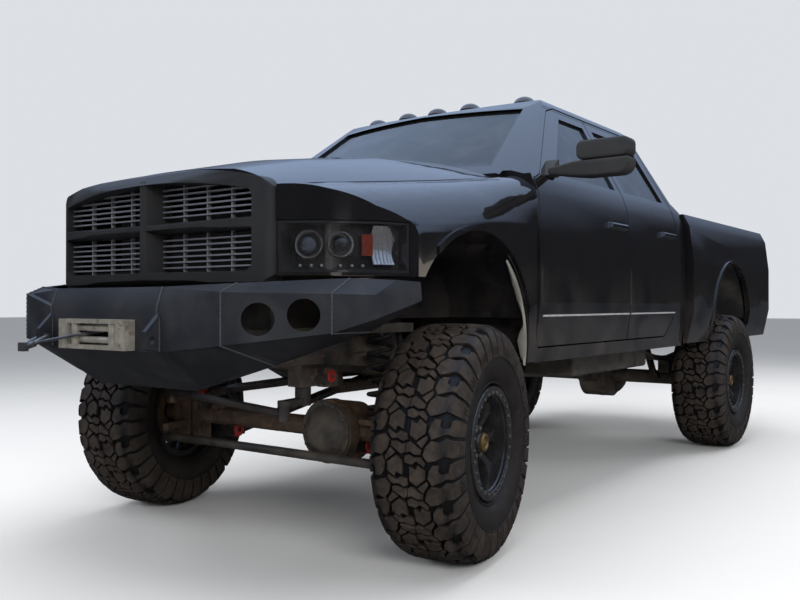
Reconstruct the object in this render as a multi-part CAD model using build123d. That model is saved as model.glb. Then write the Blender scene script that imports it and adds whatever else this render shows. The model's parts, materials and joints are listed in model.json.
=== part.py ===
"""Lifted crew-cab pickup truck, made piece by piece in one shared frame.

Units are millimetres. +Z is up, the ground is z = 0, the truck's nose points to -Y and its
left side is +X. Places along the truck are given as s, the distance behind the front axle.
"""
import math
import os

from build123d import *

# Overall stations along the truck, measured from the front axle
FRONT_TIP = -1170
WHEELBASE = 3569
CAB_FRONT = 600
CAB_BACK = 2655
BED_GAP = 35
BED_LENGTH = 1970
BED_FRONT = CAB_BACK + BED_GAP
BED_REAR = BED_FRONT + BED_LENGTH
BUMPER_REACH = 140
REAR_TIP = BED_REAR + BUMPER_REACH
MIDDLE = (FRONT_TIP + REAR_TIP) / 2

# Tyres, wheels and axles
TYRE_R = 484
TYRE_W = 372
TYRE_X = 900
RIM_R = 236
AXLE_Z = TYRE_R
AXLE_TUBE_R = 45
KINGPIN_X = 745
REST_STEER = 10
ARM_LONG = 180
FORK_IN = 128
ARM_SHORT = 140
TIE_Z = 430
DRAG_Z = 560

# Ladder frame
RAIL_IN = 365
RAIL_OUT = 435
RAIL_H = 150

# Body heights and widths
ROCKER_Z = 775
FLOOR_Z = 805
BELT_Z = 1650
BODY_X = 988
BELT_X = 942
ROOF_EDGE_X = 700
ROOF_EDGE_Z = 2100
ROOF_TOP_Z = 2205

# Doors and walls of the cab
DOOR_FRONT = CAB_FRONT + 22
DOOR_SPLIT = 1705
DOOR_BACK = CAB_BACK - 150
DOOR_LOW = 848
DOOR_IN = 868
SKIN = 60
SCREEN_CURVE = 3500

# Arches
FRONT_ARCH_S = 50
REAR_ARCH_S = WHEELBASE + 25
ARCH_Z = 880
ARCH_R = 468
WELL_IN = 560

# Hood and grille
HOOD_REAR = 505
HOOD_REAR_MID = 440
GRILLE_REAR = -745

# Load bed
BED_X = 1030
BED_RAIL_Z = 1640
BED_FLOOR_Z = 1030
BED_LOW_Z = 790
BED_IN_X = 830

GAP = 6


def at(s):
    """Y of a station s behind the front axle."""
    return s - MIDDLE


def prism(axis, points, start, end):
    """Straight-sided solid. Points are (s, z) for X, (x, z) for Y, (x, s) for Z."""
    if axis == "X":
        plane = Plane.YZ.offset(start)
        flat = [(at(s), z) for s, z in points]
        way = (1, 0, 0)
    elif axis == "Y":
        plane = Plane(origin=(0, at(start), 0), x_dir=(1, 0, 0), z_dir=(0, -1, 0))
        flat = points
        way = (0, 1, 0)
    else:
        plane = Plane.XY.offset(start)
        flat = [(x, at(s)) for x, s in points]
        way = (0, 0, 1)
    face = make_face(Polyline(*flat, close=True))
    return extrude(plane * face, amount=end - start, dir=way)


def block(x0, x1, s0, s1, z0, z1):
    """Box between two corners."""
    return prism("Z", [(x0, s0), (x1, s0), (x1, s1), (x0, s1)], z0, z1)


def rod(start, end, radius, inner=0):
    """Round bar between two points given as (x, s, z)."""
    a = Vector(start[0], at(start[1]), start[2])
    b = Vector(end[0], at(end[1]), end[2])
    span = b - a
    plane = Plane(origin=a, z_dir=span)
    ring = Circle(radius) - Circle(inner) if inner else Circle(radius)
    return extrude(plane * ring, amount=span.length, dir=span.normalized())


def bar(points, radius):
    """Round bar through several points, with a ball at each bend."""
    shape = None
    for a, b in zip(points, points[1:]):
        leg = rod(a, b, radius)
        shape = leg if shape is None else shape + leg
    for x, s, z in points[1:-1]:
        shape += Pos(x, at(s), z) * Sphere(radius)
    return shape


def disc(x0, x1, s, z, radius):
    """Round slab across the truck from x0 to x1."""
    return rod((x0, s, z), (x1, s, z), radius)


def twin(shape):
    """The shape and its mirror image on the other side."""
    return shape + mirror(shape, about=Plane.YZ)


def flip(shape):
    return mirror(shape, about=Plane.YZ)


def save(name, shape):
    os.makedirs("parts", exist_ok=True)
    shape.label = name
    export_step(shape, "parts/" + name + ".step")


# Wheels: tyre, rim and knuckle are made straight at the origin and then put in place

# A flat-faced tyre: every second sector of each half carries a lug, and the two halves are
# staggered. Columns of both outlines: distance from the tyre's middle, radius
LUGS = 16
LUG_H = 20
GROOVE_R = TYRE_R - LUG_H
BEAD_X = 118
BEAD_R = RIM_R - 13
FLOOR_LINE = [(0, GROOVE_R), (12, GROOVE_R), (132, GROOVE_R - 8), (172, 428), (184, 350)]
LUG_LINE = [(0, GROOVE_R), (12, GROOVE_R), (12, TYRE_R), (138, TYRE_R - 1), (176, 462),
            (TYRE_W / 2, 408), (184, 350)]
WALL_LINE = [(184, 350), (146, RIM_R + 5), (BEAD_X, RIM_R + 1), (BEAD_X, BEAD_R)]


def ring_point(x, radius, step):
    angle = math.pi * step / LUGS
    return (x, radius * math.sin(angle), radius * math.cos(angle))


def panel(*points):
    """Flat face through its corners."""
    return Face(Wire.make_polygon([Vector(*p) for p in points], close=True))


def solid_of(faces):
    """Solid inside a closed skin of flat faces."""
    return Solid(Shell(faces))


def make_tyre():
    faces = []
    steps = 2 * LUGS
    for side in (1, -1):
        for k in range(steps):
            lug_here = (k % 2 == 0) == (side > 0)
            line = LUG_LINE if lug_here else FLOOR_LINE
            rows = [(line, i) for i in range(len(line) - 1)]
            rows += [(WALL_LINE, i) for i in range(len(WALL_LINE) - 1)]
            for path, i in rows:
                (xa, ra), (xb, rb) = path[i], path[i + 1]
                faces.append(panel(ring_point(side * xa, ra, k), ring_point(side * xb, rb, k),
                                   ring_point(side * xb, rb, k + 1), ring_point(side * xa, ra, k + 1)))
            step_wall = LUG_LINE[1:] + FLOOR_LINE[-2:1:-1]
            faces.append(panel(*[ring_point(side * x, r, k) for x, r in step_wall]))
    for k in range(steps):
        faces.append(panel(ring_point(-BEAD_X, BEAD_R, k), ring_point(BEAD_X, BEAD_R, k),
                           ring_point(BEAD_X, BEAD_R, k + 1), ring_point(-BEAD_X, BEAD_R, k + 1)))
    return solid_of(faces)


def make_rim():
    """Beadlock wheel, its outer face towards +X."""
    lip = [(-124, 205), (-124, 234), (-118.4, 234), (-118.4, 221.6), (-100, 221.6), (-60, 200)]
    lip += [(60, 200), (104, 221.6), (118.4, 221.6), (118.4, 234), (158, 234), (166, 226)]
    lip += [(166, 196), (150, 188), (60, 178), (-60, 178)]
    barrel = revolve(make_face(Polyline(*lip, close=True)), axis=Axis.X, revolution_arc=360)
    dish = [(20, 40), (20, 178), (52, 186), (52, 150), (70, 110), (70, 40)]
    dish_ring = revolve(make_face(Polyline(*dish, close=True)), axis=Axis.X, revolution_arc=360)
    wheel = barrel + dish_ring
    for k in range(8):
        window = Rot(45 * k, 0, 0) * Pos(45, 0, 130) * Box(120, 46, 62)
        wheel -= window
    hub = Rot(0, 90, 0) * Pos(0, 0, 60) * Cylinder(40, 130)
    wheel += hub
    rotor = Rot(0, 90, 0) * Pos(0, 0, -20) * (Cylinder(165, 30) - Cylinder(35, 40))
    wheel += rotor
    return wheel


def make_knuckle():
    """Left knuckle about its kingpin line, wheel towards +X."""
    post = Box(60, 70, 2 * FORK_IN - 0.6)
    post += Pos(32, 0, 0) * Box(26, 140, 180)
    spindle = Rot(0, 90, 0) * Pos(0, 0, 80) * Cylinder(45, 79.4)
    arm_end = (0, -ARM_LONG, TIE_Z - AXLE_Z)
    arm = Pos(0, -ARM_LONG / 2, TIE_Z - AXLE_Z) * Box(36, ARM_LONG, 34)
    arm += Pos(*arm_end) * Cylinder(22, 34)
    return post + spindle + arm


wheel_middle = {
    "fl": (TYRE_X, 0),
    "fr": (-TYRE_X, 0),
    "rl": (TYRE_X, WHEELBASE),
    "rr": (-TYRE_X, WHEELBASE),
}


def place_wheel(shape, corner):
    """Stand a wheel piece made at the origin at its corner, steered on the front axle."""
    x, s = wheel_middle[corner]
    side = 1 if x > 0 else -1
    turned = shape if side > 0 else flip(shape)
    if corner.startswith("f"):
        pin = Pos(side * KINGPIN_X, at(0), AXLE_Z) * Rot(0, 0, REST_STEER)
        return pin * Pos(side * (TYRE_X - KINGPIN_X), 0, 0) * turned
    return Pos(x, at(s), AXLE_Z) * turned


tyre = make_tyre()
rim = make_rim()
for corner in wheel_middle:
    save("tyre_" + corner, place_wheel(tyre, corner))
    save("rim_" + corner, place_wheel(rim, corner))


def steer_point(side, reach, z):
    """Place (x, s, z) of a point on a knuckle arm with the wheels at rest."""
    angle = math.radians(REST_STEER)
    return (side * KINGPIN_X + reach * math.sin(angle), -reach * math.cos(angle), z)


knuckle = make_knuckle()
right_knuckle = flip(knuckle)
post_up = DRAG_Z - AXLE_Z
right_knuckle += Pos(0, -ARM_SHORT / 2, post_up) * Box(40, ARM_SHORT, 30)
right_knuckle += Pos(0, -ARM_SHORT, post_up) * Cylinder(22, 30)
save("knuckle_left", Pos(KINGPIN_X, at(0), AXLE_Z) * Rot(0, 0, REST_STEER) * knuckle)
save("knuckle_right", Pos(-KINGPIN_X, at(0), AXLE_Z) * Rot(0, 0, REST_STEER) * right_knuckle)

# Steering bars lie in front of the axle: their ends sit just under or over the knuckle arms
tie_z = TIE_Z - 46
tie_left = steer_point(1, ARM_LONG, tie_z)
tie_right = steer_point(-1, ARM_LONG, tie_z)
tie_rod = rod(tie_left, tie_right, 20)
for x, s, z in (tie_left, tie_right):
    tie_rod += Pos(x, at(s), z + 4) * Cylinder(23, 49.4)
save("tie_rod", tie_rod)

PITMAN_X = 330
PITMAN_S = -290
PITMAN_Z = 640
angle = math.radians(REST_STEER)
pitman_reach = (ARM_SHORT * math.sin(angle), -ARM_SHORT * math.cos(angle))
pitman_end = (PITMAN_X + pitman_reach[0], PITMAN_S + pitman_reach[1], PITMAN_Z - 42)
drag_right = steer_point(-1, ARM_SHORT, DRAG_Z + 44)
drag_link = rod(drag_right, pitman_end, 18)
for x, s, z in (drag_right, pitman_end):
    drag_link += Pos(x, at(s), z) * Cylinder(23, 57.4)
save("drag_link", drag_link)

pitman = Pos(PITMAN_X, at(PITMAN_S), PITMAN_Z + 19.85) * Cylinder(34, 79.7)
arm = Pos(0, -ARM_SHORT / 2, 0) * Box(46, ARM_SHORT, 26) + Pos(0, -ARM_SHORT, 0) * Cylinder(28, 26)
pitman += Pos(PITMAN_X, at(PITMAN_S), PITMAN_Z) * Rot(0, 0, REST_STEER) * arm
save("pitman_arm", pitman)

# Front axle: tube, offset differential, forks that hold the knuckles
DIFF_X = 300


def along(start, end, s):
    """Point at station s on the straight line from start to end."""
    share = (s - start[1]) / (end[1] - start[1])
    return tuple(a + (b - a) * share for a, b in zip(start, end))


# Drive shafts: the line of each, from the axle's nose to the transfer case
FRONT_LINE = ((DIFF_X, 60, AXLE_Z + 2), (235, 1030, 610))
REAR_LINE = ((0, WHEELBASE - 150, AXLE_Z + 20), (0, 1320, 662))
FRONT_SHAFT = (FRONT_LINE[0], along(*FRONT_LINE, 230), FRONT_LINE[1])
REAR_SHAFT = (REAR_LINE[0], along(*REAR_LINE, WHEELBASE - 330), REAR_LINE[1])
front_axle = disc(-660, 660, 0, AXLE_Z, AXLE_TUBE_R)
front_axle += disc(DIFF_X - 90, DIFF_X + 90, 0, AXLE_Z, 130)
front_axle += Pos(DIFF_X, at(-75), AXLE_Z) * Rot(90, 0, 0) * Cylinder(142, 60)
front_axle += rod(FRONT_SHAFT[0], FRONT_SHAFT[1], 55)
FORK_OUT = FORK_IN + 32
fork = block(620, 680, -36, 36, AXLE_Z - FORK_OUT, AXLE_Z + FORK_OUT)
fork += block(620, 780, -34, 34, AXLE_Z + FORK_IN, AXLE_Z + FORK_OUT)
fork += block(620, 780, -34, 34, AXLE_Z - FORK_OUT, AXLE_Z - FORK_IN)
seat = block(455, 585, -70, 70, AXLE_Z + 38, AXLE_Z + 62)
front_axle += twin(fork + seat)
save("front_axle", front_axle)

# Rear axle: tube, middle differential, spring blocks
rear_axle = disc(-864.7, 864.7, WHEELBASE, AXLE_Z, 52)
rear_axle += disc(-110, 110, WHEELBASE, AXLE_Z, 170)
rear_axle += Pos(0, at(WHEELBASE + 90), AXLE_Z) * Rot(90, 0, 0) * Cylinder(178, 90)
rear_axle += rod(REAR_SHAFT[0], REAR_SHAFT[1], 70)
rear_axle += twin(disc(836, 854, WHEELBASE, AXLE_Z, 150))
lift_block = block(505, 585, WHEELBASE - 85, WHEELBASE + 85, AXLE_Z + 40, AXLE_Z + 130)
rear_axle += twin(lift_block)
save("rear_axle", rear_axle)

# Frame rails, columns: station, underside height
RAIL_LINE = [
    (-880, 800),
    (-300, 800),
    (150, 760),
    (420, 630),
    (CAB_BACK + 95, 630),
    (CAB_BACK + 465, 790),
    (BED_REAR - 580, 790),
    (BED_REAR - 360, 730),
    (BED_REAR + 40, 730),
]
top_line = [(s, z + RAIL_H) for s, z in reversed(RAIL_LINE)]
rail = prism("X", RAIL_LINE + top_line, RAIL_IN, RAIL_OUT)
frame = twin(rail)
# Cross members, columns: station, length, underside, height
CROSS_MEMBERS = [
    (-830, 90, 815, 110),
    (900, 100, 640, 50),
    (1500, 110, 715, 60),
    (2300, 90, 690, 80),
    (CAB_BACK + 345, 80, 760, 110),
    (BED_REAR - 480, 80, 790, 100),
    (BED_REAR - 100, 80, 745, 110),
]
for s, length, low, high in CROSS_MEMBERS:
    frame += block(-RAIL_IN - 5, RAIL_IN + 5, s - length / 2, s + length / 2, low, low + high)
tower = block(RAIL_OUT - 5, 590, -80, 150, 925, 965) + block(RAIL_OUT - 5, 452, -80, 150, 840, 965)
frame += twin(tower)
steering_box = block(290, 370, -340, -240, 700, 850)
track_bracket = block(320, 370, -190, -110, 690, 830)
frame += steering_box + track_bracket
# Rubber pucks under the cab, columns: station, underside
for s in (CAB_FRONT + 100, 1250, 2000, CAB_BACK - 55):
    puck = Pos(400, at(s), 0) * Cylinder(32, 22)
    frame += twin(Pos(0, 0, FLOOR_Z - 5 - 11) * puck)
save("frame", frame)

# Coil springs with shocks at their side
COIL_X = 520
COIL_LOW = AXLE_Z + 62
COIL_HIGH = 925
coil_path = Helix(pitch=(COIL_HIGH - COIL_LOW - 28) / 6, height=COIL_HIGH - COIL_LOW - 28, radius=52)
wire_end = Plane(origin=coil_path @ 0, z_dir=coil_path % 0)
coil = sweep(wire_end * Circle(9), path=coil_path, is_frenet=True)
coil = Pos(COIL_X, at(0), COIL_LOW + 14) * coil
coil += Pos(COIL_X, at(0), COIL_LOW + 6) * Cylinder(62, 12)
coil += Pos(COIL_X, at(0), COIL_HIGH - 6) * Cylinder(62, 12)
save("coil_springs", twin(coil))

shock = rod((570, 118, 560), (545, 118, 790), 28)
shock += rod((545, 118, 790), (530, 118, 955), 14)
shock += block(540, 600, 70, 150, 522, 566)
SHOCK_TOP_S = WHEELBASE - 329
rear_shock = rod((480, WHEELBASE - 99, 500), (480, SHOCK_TOP_S, 810), 26)
rear_shock += block(RAIL_OUT, 510, SHOCK_TOP_S - 35, SHOCK_TOP_S + 30, 790, 850)
rear_shock += block(450, 510, WHEELBASE - 129, WHEELBASE - 9, 480, 520)
save("shocks", twin(shock - frame) + twin(rear_shock - rear_axle))

# Long arms that hold the front axle, and the track bar
arm_low = rod((420, 45, AXLE_Z - 66), (400, 1180, 636), 26)
arm_low += block(394, 446, -20, 60, AXLE_Z - 92, AXLE_Z)
track_bar = bar([(-520, -95, 590), (-300, -130, 640), (345, -150, 735)], 20)
track_bar += block(-545, -495, -118, -70, 524, 606)
save("front_links", (twin(arm_low) + track_bar) - frame - front_axle)

# Leaf springs
# Leaves, columns: how far each reaches from the axle
LEAF_REACH = (360, 520, 700)
LEAF_THICK = 12
LEAF_SEAT_HALF = 90
LEAF_RISE = 98
HANGER_TOP = FLOOR_Z - 12
HANGER_HALF = 30
leaf_seat = AXLE_Z + 130


def leaf_rise(reach):
    spread = LEAF_REACH[-1] - LEAF_SEAT_HALF
    return LEAF_RISE * (max(reach - LEAF_SEAT_HALF, 0) / spread) ** 1.6


leaves = None
for k, reach in enumerate(LEAF_REACH):
    steps = [LEAF_SEAT_HALF] + [r for r in LEAF_REACH if r <= reach]
    low = leaf_seat + LEAF_THICK * k
    under = [(WHEELBASE - r, low + leaf_rise(r)) for r in reversed(steps)]
    under += [(WHEELBASE + r, low + leaf_rise(r)) for r in steps]
    over = [(s, z + LEAF_THICK) for s, z in reversed(under)]
    leaf = prism("X", under + over, 508, 582)
    leaves = leaf if leaves is None else leaves + leaf
eye_z = leaf_seat + LEAF_THICK * 2.5 + LEAF_RISE
for s in (WHEELBASE - LEAF_REACH[-1], WHEELBASE + LEAF_REACH[-1]):
    leaves += disc(508, 582, s, eye_z, 26)
    leaves += block(RAIL_OUT, 512, s - HANGER_HALF, s + HANGER_HALF, eye_z - 30, HANGER_TOP)
save("leaf_springs", twin(leaves))

# Engine, gearbox and transfer case as plain blocks, with their shafts
powertrain = block(-270, 250, -330, 520, 850, 1400)
powertrain += block(-230, 230, -260, 420, 765, 850)
powertrain += block(-190, 190, 520, 1010, 690, 790)
powertrain += block(-190, 190, 480, 560, 690, 1000)
powertrain += block(-150, 300, 1010, 1340, 560, 790)
powertrain += block(250, RAIL_IN, 0, 80, 800, 870) + block(-RAIL_IN, -270, 0, 80, 800, 870)
powertrain += rod(FRONT_SHAFT[1], FRONT_SHAFT[2], 32)
powertrain += rod(REAR_SHAFT[1], REAR_SHAFT[2], 42)
save("powertrain", powertrain)

exhaust = bar([(-235, 500, 880), (-290, 660, 590), (-290, WHEELBASE - 669, 590), (-290, WHEELBASE - 319, 680),
               (-290, WHEELBASE + 231, 680), (-330, WHEELBASE + 431, 575), (-640, WHEELBASE + 691, 560),
               (-900, WHEELBASE + 911, 560)], 38)
exhaust += rod((-290, 1620, 600), (-290, 2200, 600), 80)
for s in (900, 1500, 2300):
    exhaust += block(-296, -284, s - 12, s + 12, 600, 690 if s == 2300 else (640 if s == 900 else 715))
exhaust -= powertrain
save("exhaust", exhaust)

# The tank hangs beside the left rail, clear of the leaf springs' front hangers
TANK_LONG = 1110
TANK_GAP = 279
tank_back = WHEELBASE - LEAF_REACH[-1] - HANGER_HALF - TANK_GAP
save("fuel_tank", block(RAIL_OUT, 760, tank_back - TANK_LONG, tank_back, 640, 779))

# Outer skin of the nose, columns: station, crown, edge of the raised middle x and z, hood edge
# x and z, shoulder x and z, side top x and z, foot x
NOSE = [
    (-780, 1572, 400, 1552, 620, 1474, 850, 1416, 965, 1260, 965),
    (-350, 1672, 410, 1642, 690, 1518, 885, 1466, 990, 1310, 985),
    (100, 1744, 430, 1710, 745, 1576, 905, 1532, 998, 1380, 980),
    (620, 1784, 450, 1752, 800, 1656, 920, 1622, 978, 1500, 958),
]


def nose_section(row, inset):
    s, crown, dx, dz, hx, hz, mx, mz, sx, sz, foot = row
    hx, mx, sx, foot = hx - inset / 2, mx - inset * 0.8, sx - inset, foot - inset
    crown, dz, hz, mz, sz = crown - inset, dz - inset, hz - inset, mz - inset * 0.8, sz - inset / 2
    low = ROCKER_Z + 5 if inset <= 0 else ROCKER_Z - 40
    bend = ((dx + hx) / 2, (dz + hz) / 2 + 9)
    edges = ThreePointArc((-dx, dz), (0, crown), (dx, dz))
    edges += ThreePointArc((dx, dz), bend, (hx, hz))
    edges += ThreePointArc((hx, hz), (mx, mz), (sx, sz))
    edges += Polyline((sx, sz), (sx, 1020), (foot, low), (-foot, low), (-sx, 1020), (-sx, sz))
    edges += ThreePointArc((-sx, sz), (-mx, mz), (-hx, hz))
    edges += ThreePointArc((-hx, hz), (-bend[0], bend[1]), (-dx, dz))
    plane = Plane(origin=(0, at(s), 0), x_dir=(1, 0, 0), z_dir=(0, -1, 0))
    return plane * make_face(edges)


def nose_skin(inset):
    return loft([nose_section(row, inset) for row in NOSE], ruled=True)


# Plan of the nose corner, columns: x, station
NOSE_PLAN = [(0, -800), (640, -778), (800, -672), (915, -535), (978, -380), (1100, -300)]


def plan_prism(points, inset, back):
    half = [(max(x - inset, 0), s + inset) for x, s in points]
    half += [(1100, back), (0, back)]
    return twin(prism("Z", half, 700, 1900))


nose_outer = nose_skin(0) & plan_prism(NOSE_PLAN, 0, CAB_FRONT)
nose_inner = nose_skin(24) & plan_prism(NOSE_PLAN, 24, 640)

# Hood: columns x, station of its plan
HOOD_PLAN = [(0, -900), (626, -900), (634, -560), (758, 300), (777, 455), (777, HOOD_REAR),
             (400, HOOD_REAR_MID + 30), (0, HOOD_REAR_MID)]
hood_prism = twin(prism("Z", HOOD_PLAN, 1380, 1900))
hood = nose_outer & hood_prism & twin(prism("Z", [(0, GRILLE_REAR), (1000, GRILLE_REAR),
                                                  (1000, HOOD_REAR), (0, HOOD_REAR)], 1300, 1900))
hood -= nose_skin(30)
save("hood", hood)

# Fenders: what the hood leaves of the nose, with arch, lamp and bay cut
fender = nose_outer - nose_inner
hood_gap = [(0, -900), (649, -900), (649, -735), (642, -560), (766, 300), (796, 455), (806, HOOD_REAR + 7),
            (806, 700), (0, 700)]
FENDER_LOW = 1150
fender -= twin(prism("Z", hood_gap, 700, 1900))
fender -= twin(disc(500, 1100, FRONT_ARCH_S, ARCH_Z, ARCH_R))
fender -= block(-1100, 1100, FRONT_ARCH_S - 900, FRONT_ARCH_S + ARCH_R + 5, 600, ARCH_Z)
fender -= block(-1100, 1100, -900, -280, 600, FENDER_LOW)
LAMP_LOW = 1162
LAMP_HIGH = 1346
lamp_zone = twin(prism("Z", [(653, -900), (1100, -900), (1100, -405), (925, -405), (653, -600)],
                       LAMP_LOW, LAMP_HIGH))
lamp_gap = twin(prism("Z", [(600, -900), (1100, -900), (1100, -400), (925, -400), (600, -565)],
                      LAMP_LOW, LAMP_HIGH + 4))
fender -= lamp_gap
liner = disc(WELL_IN - 12, 1000, FRONT_ARCH_S, ARCH_Z, ARCH_R + 16)
liner -= disc(WELL_IN - 20, 1010, FRONT_ARCH_S, ARCH_Z, ARCH_R + 8)
liner -= block(500, 1000, -700, 700, 300, 985)
liner &= nose_skin(10)
liner -= block(500, 1100, -900, -280, 600, FENDER_LOW)
liner_wall = block(WELL_IN - 12, WELL_IN, FRONT_ARCH_S - 440, FRONT_ARCH_S + 440, 985, 1400)
liner_wall &= disc(500, 600, FRONT_ARCH_S, ARCH_Z, ARCH_R + 16)
# Rolled lip round the arch, a little proud of the fender's side
LIP_WIDTH = 24
LIP_OUT = 9
lip = disc(700, 1100, FRONT_ARCH_S, ARCH_Z, ARCH_R + LIP_WIDTH)
lip -= disc(690, 1110, FRONT_ARCH_S, ARCH_Z, ARCH_R)
lip &= nose_skin(-LIP_OUT) & block(900, 1100, FRONT_ARCH_S - 300, CAB_FRONT - 60, ARCH_Z + 130, 1700)
lip -= nose_inner
save("fenders", fender + twin(liner + liner_wall + lip))

# Headlamps fill the openings beside the grille: a rim round a pocket with two round projectors
lamps = lamp_zone & nose_outer
lamps -= twin(prism("Z", [(500, -620), (700, -600), (800, -530), (880, -420), (880, -300), (500, -300)],
                    LAMP_LOW - 1, LAMP_HIGH + 1))
LAMP_RIM = 9
LAMP_DEEP = 36
POCKET_PLAN = [(653 + LAMP_RIM, -900), (1100, -900), (1100, -405 - LAMP_RIM),
               (925, -405 - LAMP_RIM), (653 + LAMP_RIM, -600)]
pocket = twin(prism("Z", POCKET_PLAN, LAMP_LOW + LAMP_RIM, LAMP_HIGH - LAMP_RIM))
lamp_back = nose_skin(LAMP_DEEP) & plan_prism(NOSE_PLAN, LAMP_DEEP, CAB_FRONT)
lamps -= pocket & (nose_outer - lamp_back)
# Projectors, columns: x, station, height, radius
PROJECTORS = [(738, -700, 1262, 38), (826, -628, 1262, 36)]
for x, s, z, radius in PROJECTORS:
    barrel = rod((x - 22, s + 42, z), (x + 2, s - 6, z), radius)
    barrel -= rod((x - 4, s + 6, z), (x + 12, s - 26, z), radius - 7)
    lamps += twin(barrel & nose_skin(3) & plan_prism(NOSE_PLAN, 3, CAB_FRONT))
save("headlamps", lamps)

# Grille shell moves with the hood: a rounded frame with a tapered cross in its opening
SHELL_LOW = 1128
SHELL_X = 641
SHELL_TOP = 1566
SHELL_FRONT = -872
OPEN_LOW = 1168
OPEN_HIGH = 1513
OPEN_X = 572
CROSS_Z = 1343
SLAT_S = -792


def front_face(lines):
    plane = Plane(origin=(0, at(GRILLE_REAR), 0), x_dir=(1, 0, 0), z_dir=(0, -1, 0))
    return plane * make_face(lines)


def shell_lines(inset):
    """Outline of the shell from the front, pulled in by inset."""
    side, low, top = SHELL_X - inset, SHELL_LOW + inset, SHELL_TOP - inset
    lines = ThreePointArc((-side + 56, top - 56), (0, top), (side - 56, top - 56))
    lines += ThreePointArc((side - 56, top - 56), (side - 14, top - 84), (side, top - 134))
    lines += Polyline((side, top - 134), (side, low + 30), (side - 30, low), (-side + 30, low),
                      (-side, low + 30), (-side, top - 134))
    lines += ThreePointArc((-side, top - 134), (-side + 14, top - 84), (-side + 56, top - 56))
    return lines


shell = extrude(front_face(shell_lines(0)), amount=150, dir=(0, -1, 0))
SHELL_PLAN = [(0, SHELL_FRONT), (300, SHELL_FRONT + 8), (560, SHELL_FRONT + 46), (620, SHELL_FRONT + 74),
              (SHELL_X, SHELL_FRONT + 110), (660, -700), (0, -700)]
shell &= twin(prism("Z", SHELL_PLAN, 1100, 1600))
# The top leans back towards the hood
SHELL_SIDE = [(-700, SHELL_TOP + 10), (-790, SHELL_TOP + 2), (-836, SHELL_TOP - 16),
              (SHELL_FRONT - 1, SHELL_TOP - 62), (SHELL_FRONT - 1, SHELL_LOW + 14),
              (-850, SHELL_LOW - 1), (-700, SHELL_LOW - 1)]
shell &= prism("X", SHELL_SIDE, -700, 700)
opening = ThreePointArc((-OPEN_X, OPEN_HIGH - 50), (0, OPEN_HIGH), (OPEN_X, OPEN_HIGH - 50))
opening += Polyline((OPEN_X, OPEN_HIGH - 50), (OPEN_X, OPEN_LOW), (-OPEN_X, OPEN_LOW),
                    (-OPEN_X, OPEN_HIGH - 50))
hole = extrude(front_face(opening), amount=150, dir=(0, -1, 0))
hole = fillet(hole.edges().filter_by(Axis.Y), 30)
shell -= hole
# Upright and beam of the cross, narrower at the front than behind
CROSS_FRONT = -858
CROSS_HALF = 24
cross_side = [(CROSS_FRONT, 16), (CROSS_FRONT + 6, 20), (SLAT_S, 44), (GRILLE_REAR, 44)]
post_plan = [(-x, s) for s, x in cross_side] + [(x, s) for s, x in reversed(cross_side)]
post = prism("Z", post_plan, OPEN_LOW - 6, OPEN_HIGH + 15)
beam_side = [(CROSS_FRONT, 8), (CROSS_FRONT + 6, 12), (SLAT_S, CROSS_HALF), (GRILLE_REAR, CROSS_HALF)]
beam_line = [(s, CROSS_Z - h) for s, h in beam_side] + [(s, CROSS_Z + h) for s, h in reversed(beam_side)]
beam = prism("X", beam_line, -600, 600)
shell_body = extrude(front_face(shell_lines(6)), amount=150, dir=(0, -1, 0))
shell_body &= twin(prism("Z", SHELL_PLAN, 1100, 1600))
cross = (post + beam) & shell_body
shell += cross
save("grille_shell", shell)

# Slats in each quarter, with thin uprights behind them
SLATS = 6
SLAT_H = 6
SLAT_PITCH = (CROSS_Z - CROSS_HALF - OPEN_LOW) / (SLATS + 1)
UPRIGHTS = (165, 300, 435)
bar_zone = hole - cross
bars = None
for first in (OPEN_LOW + SLAT_PITCH, CROSS_Z + CROSS_HALF + SLAT_PITCH):
    for k in range(SLATS):
        z = first + k * SLAT_PITCH - SLAT_H / 2
        strip = block(-OPEN_X, OPEN_X, SLAT_S, SLAT_S + 18, z, z + SLAT_H)
        bars = strip if bars is None else bars + strip
for x in UPRIGHTS:
    bars += twin(block(x - 3, x + 3, SLAT_S + 4, SLAT_S + 22, OPEN_LOW - 10, OPEN_HIGH + 10))
save("grille_bars", bars & bar_zone)

radiator = block(-470, 470, -620, -560, 950, 1420)
radiator += block(-560, 560, GRILLE_REAR + 0.3, -600, 1154, 1184)
save("radiator", radiator)

# Cab: lower body and greenhouse from crossed outlines
FRONT_SIDE = [(955, ROCKER_Z), (984, 985), (BODY_X, 1060), (BODY_X, 1300), (970, 1560), (BELT_X, BELT_Z)]


def cab_front_face(inset):
    low = ROCKER_Z if inset == 0 else FLOOR_Z + 25
    side = [(x - inset, max(z, low)) for x, z in FRONT_SIDE]
    side[0] = (side[0][0], low)
    edge = (ROOF_EDGE_X - inset, ROOF_EDGE_Z - inset / 4)
    corner = (ROOF_EDGE_X - 25 - inset, ROOF_EDGE_Z + 46 - inset * 0.8)
    roof = (ROOF_EDGE_X - 85 - inset, ROOF_EDGE_Z + 74 - inset)
    crown = (0, ROOF_TOP_Z + 10 - inset)
    lines = Polyline(*side, edge)
    lines += ThreePointArc(edge, corner, roof)
    lines += ThreePointArc(roof, crown, (-roof[0], roof[1]))
    lines += ThreePointArc((-roof[0], roof[1]), (-corner[0], corner[1]), (-edge[0], edge[1]))
    lines += Polyline((-edge[0], edge[1]), *[(-x, z) for x, z in reversed(side)])
    lines += Line((-side[0][0], low), (side[0][0], low))
    plane = Plane(origin=(0, at(200), 0), x_dir=(1, 0, 0), z_dir=(0, -1, 0))
    return plane * make_face(lines)


SCREEN_FOOT = (359, 1640)
SCREEN_HEAD = (1112, 2150)


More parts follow.
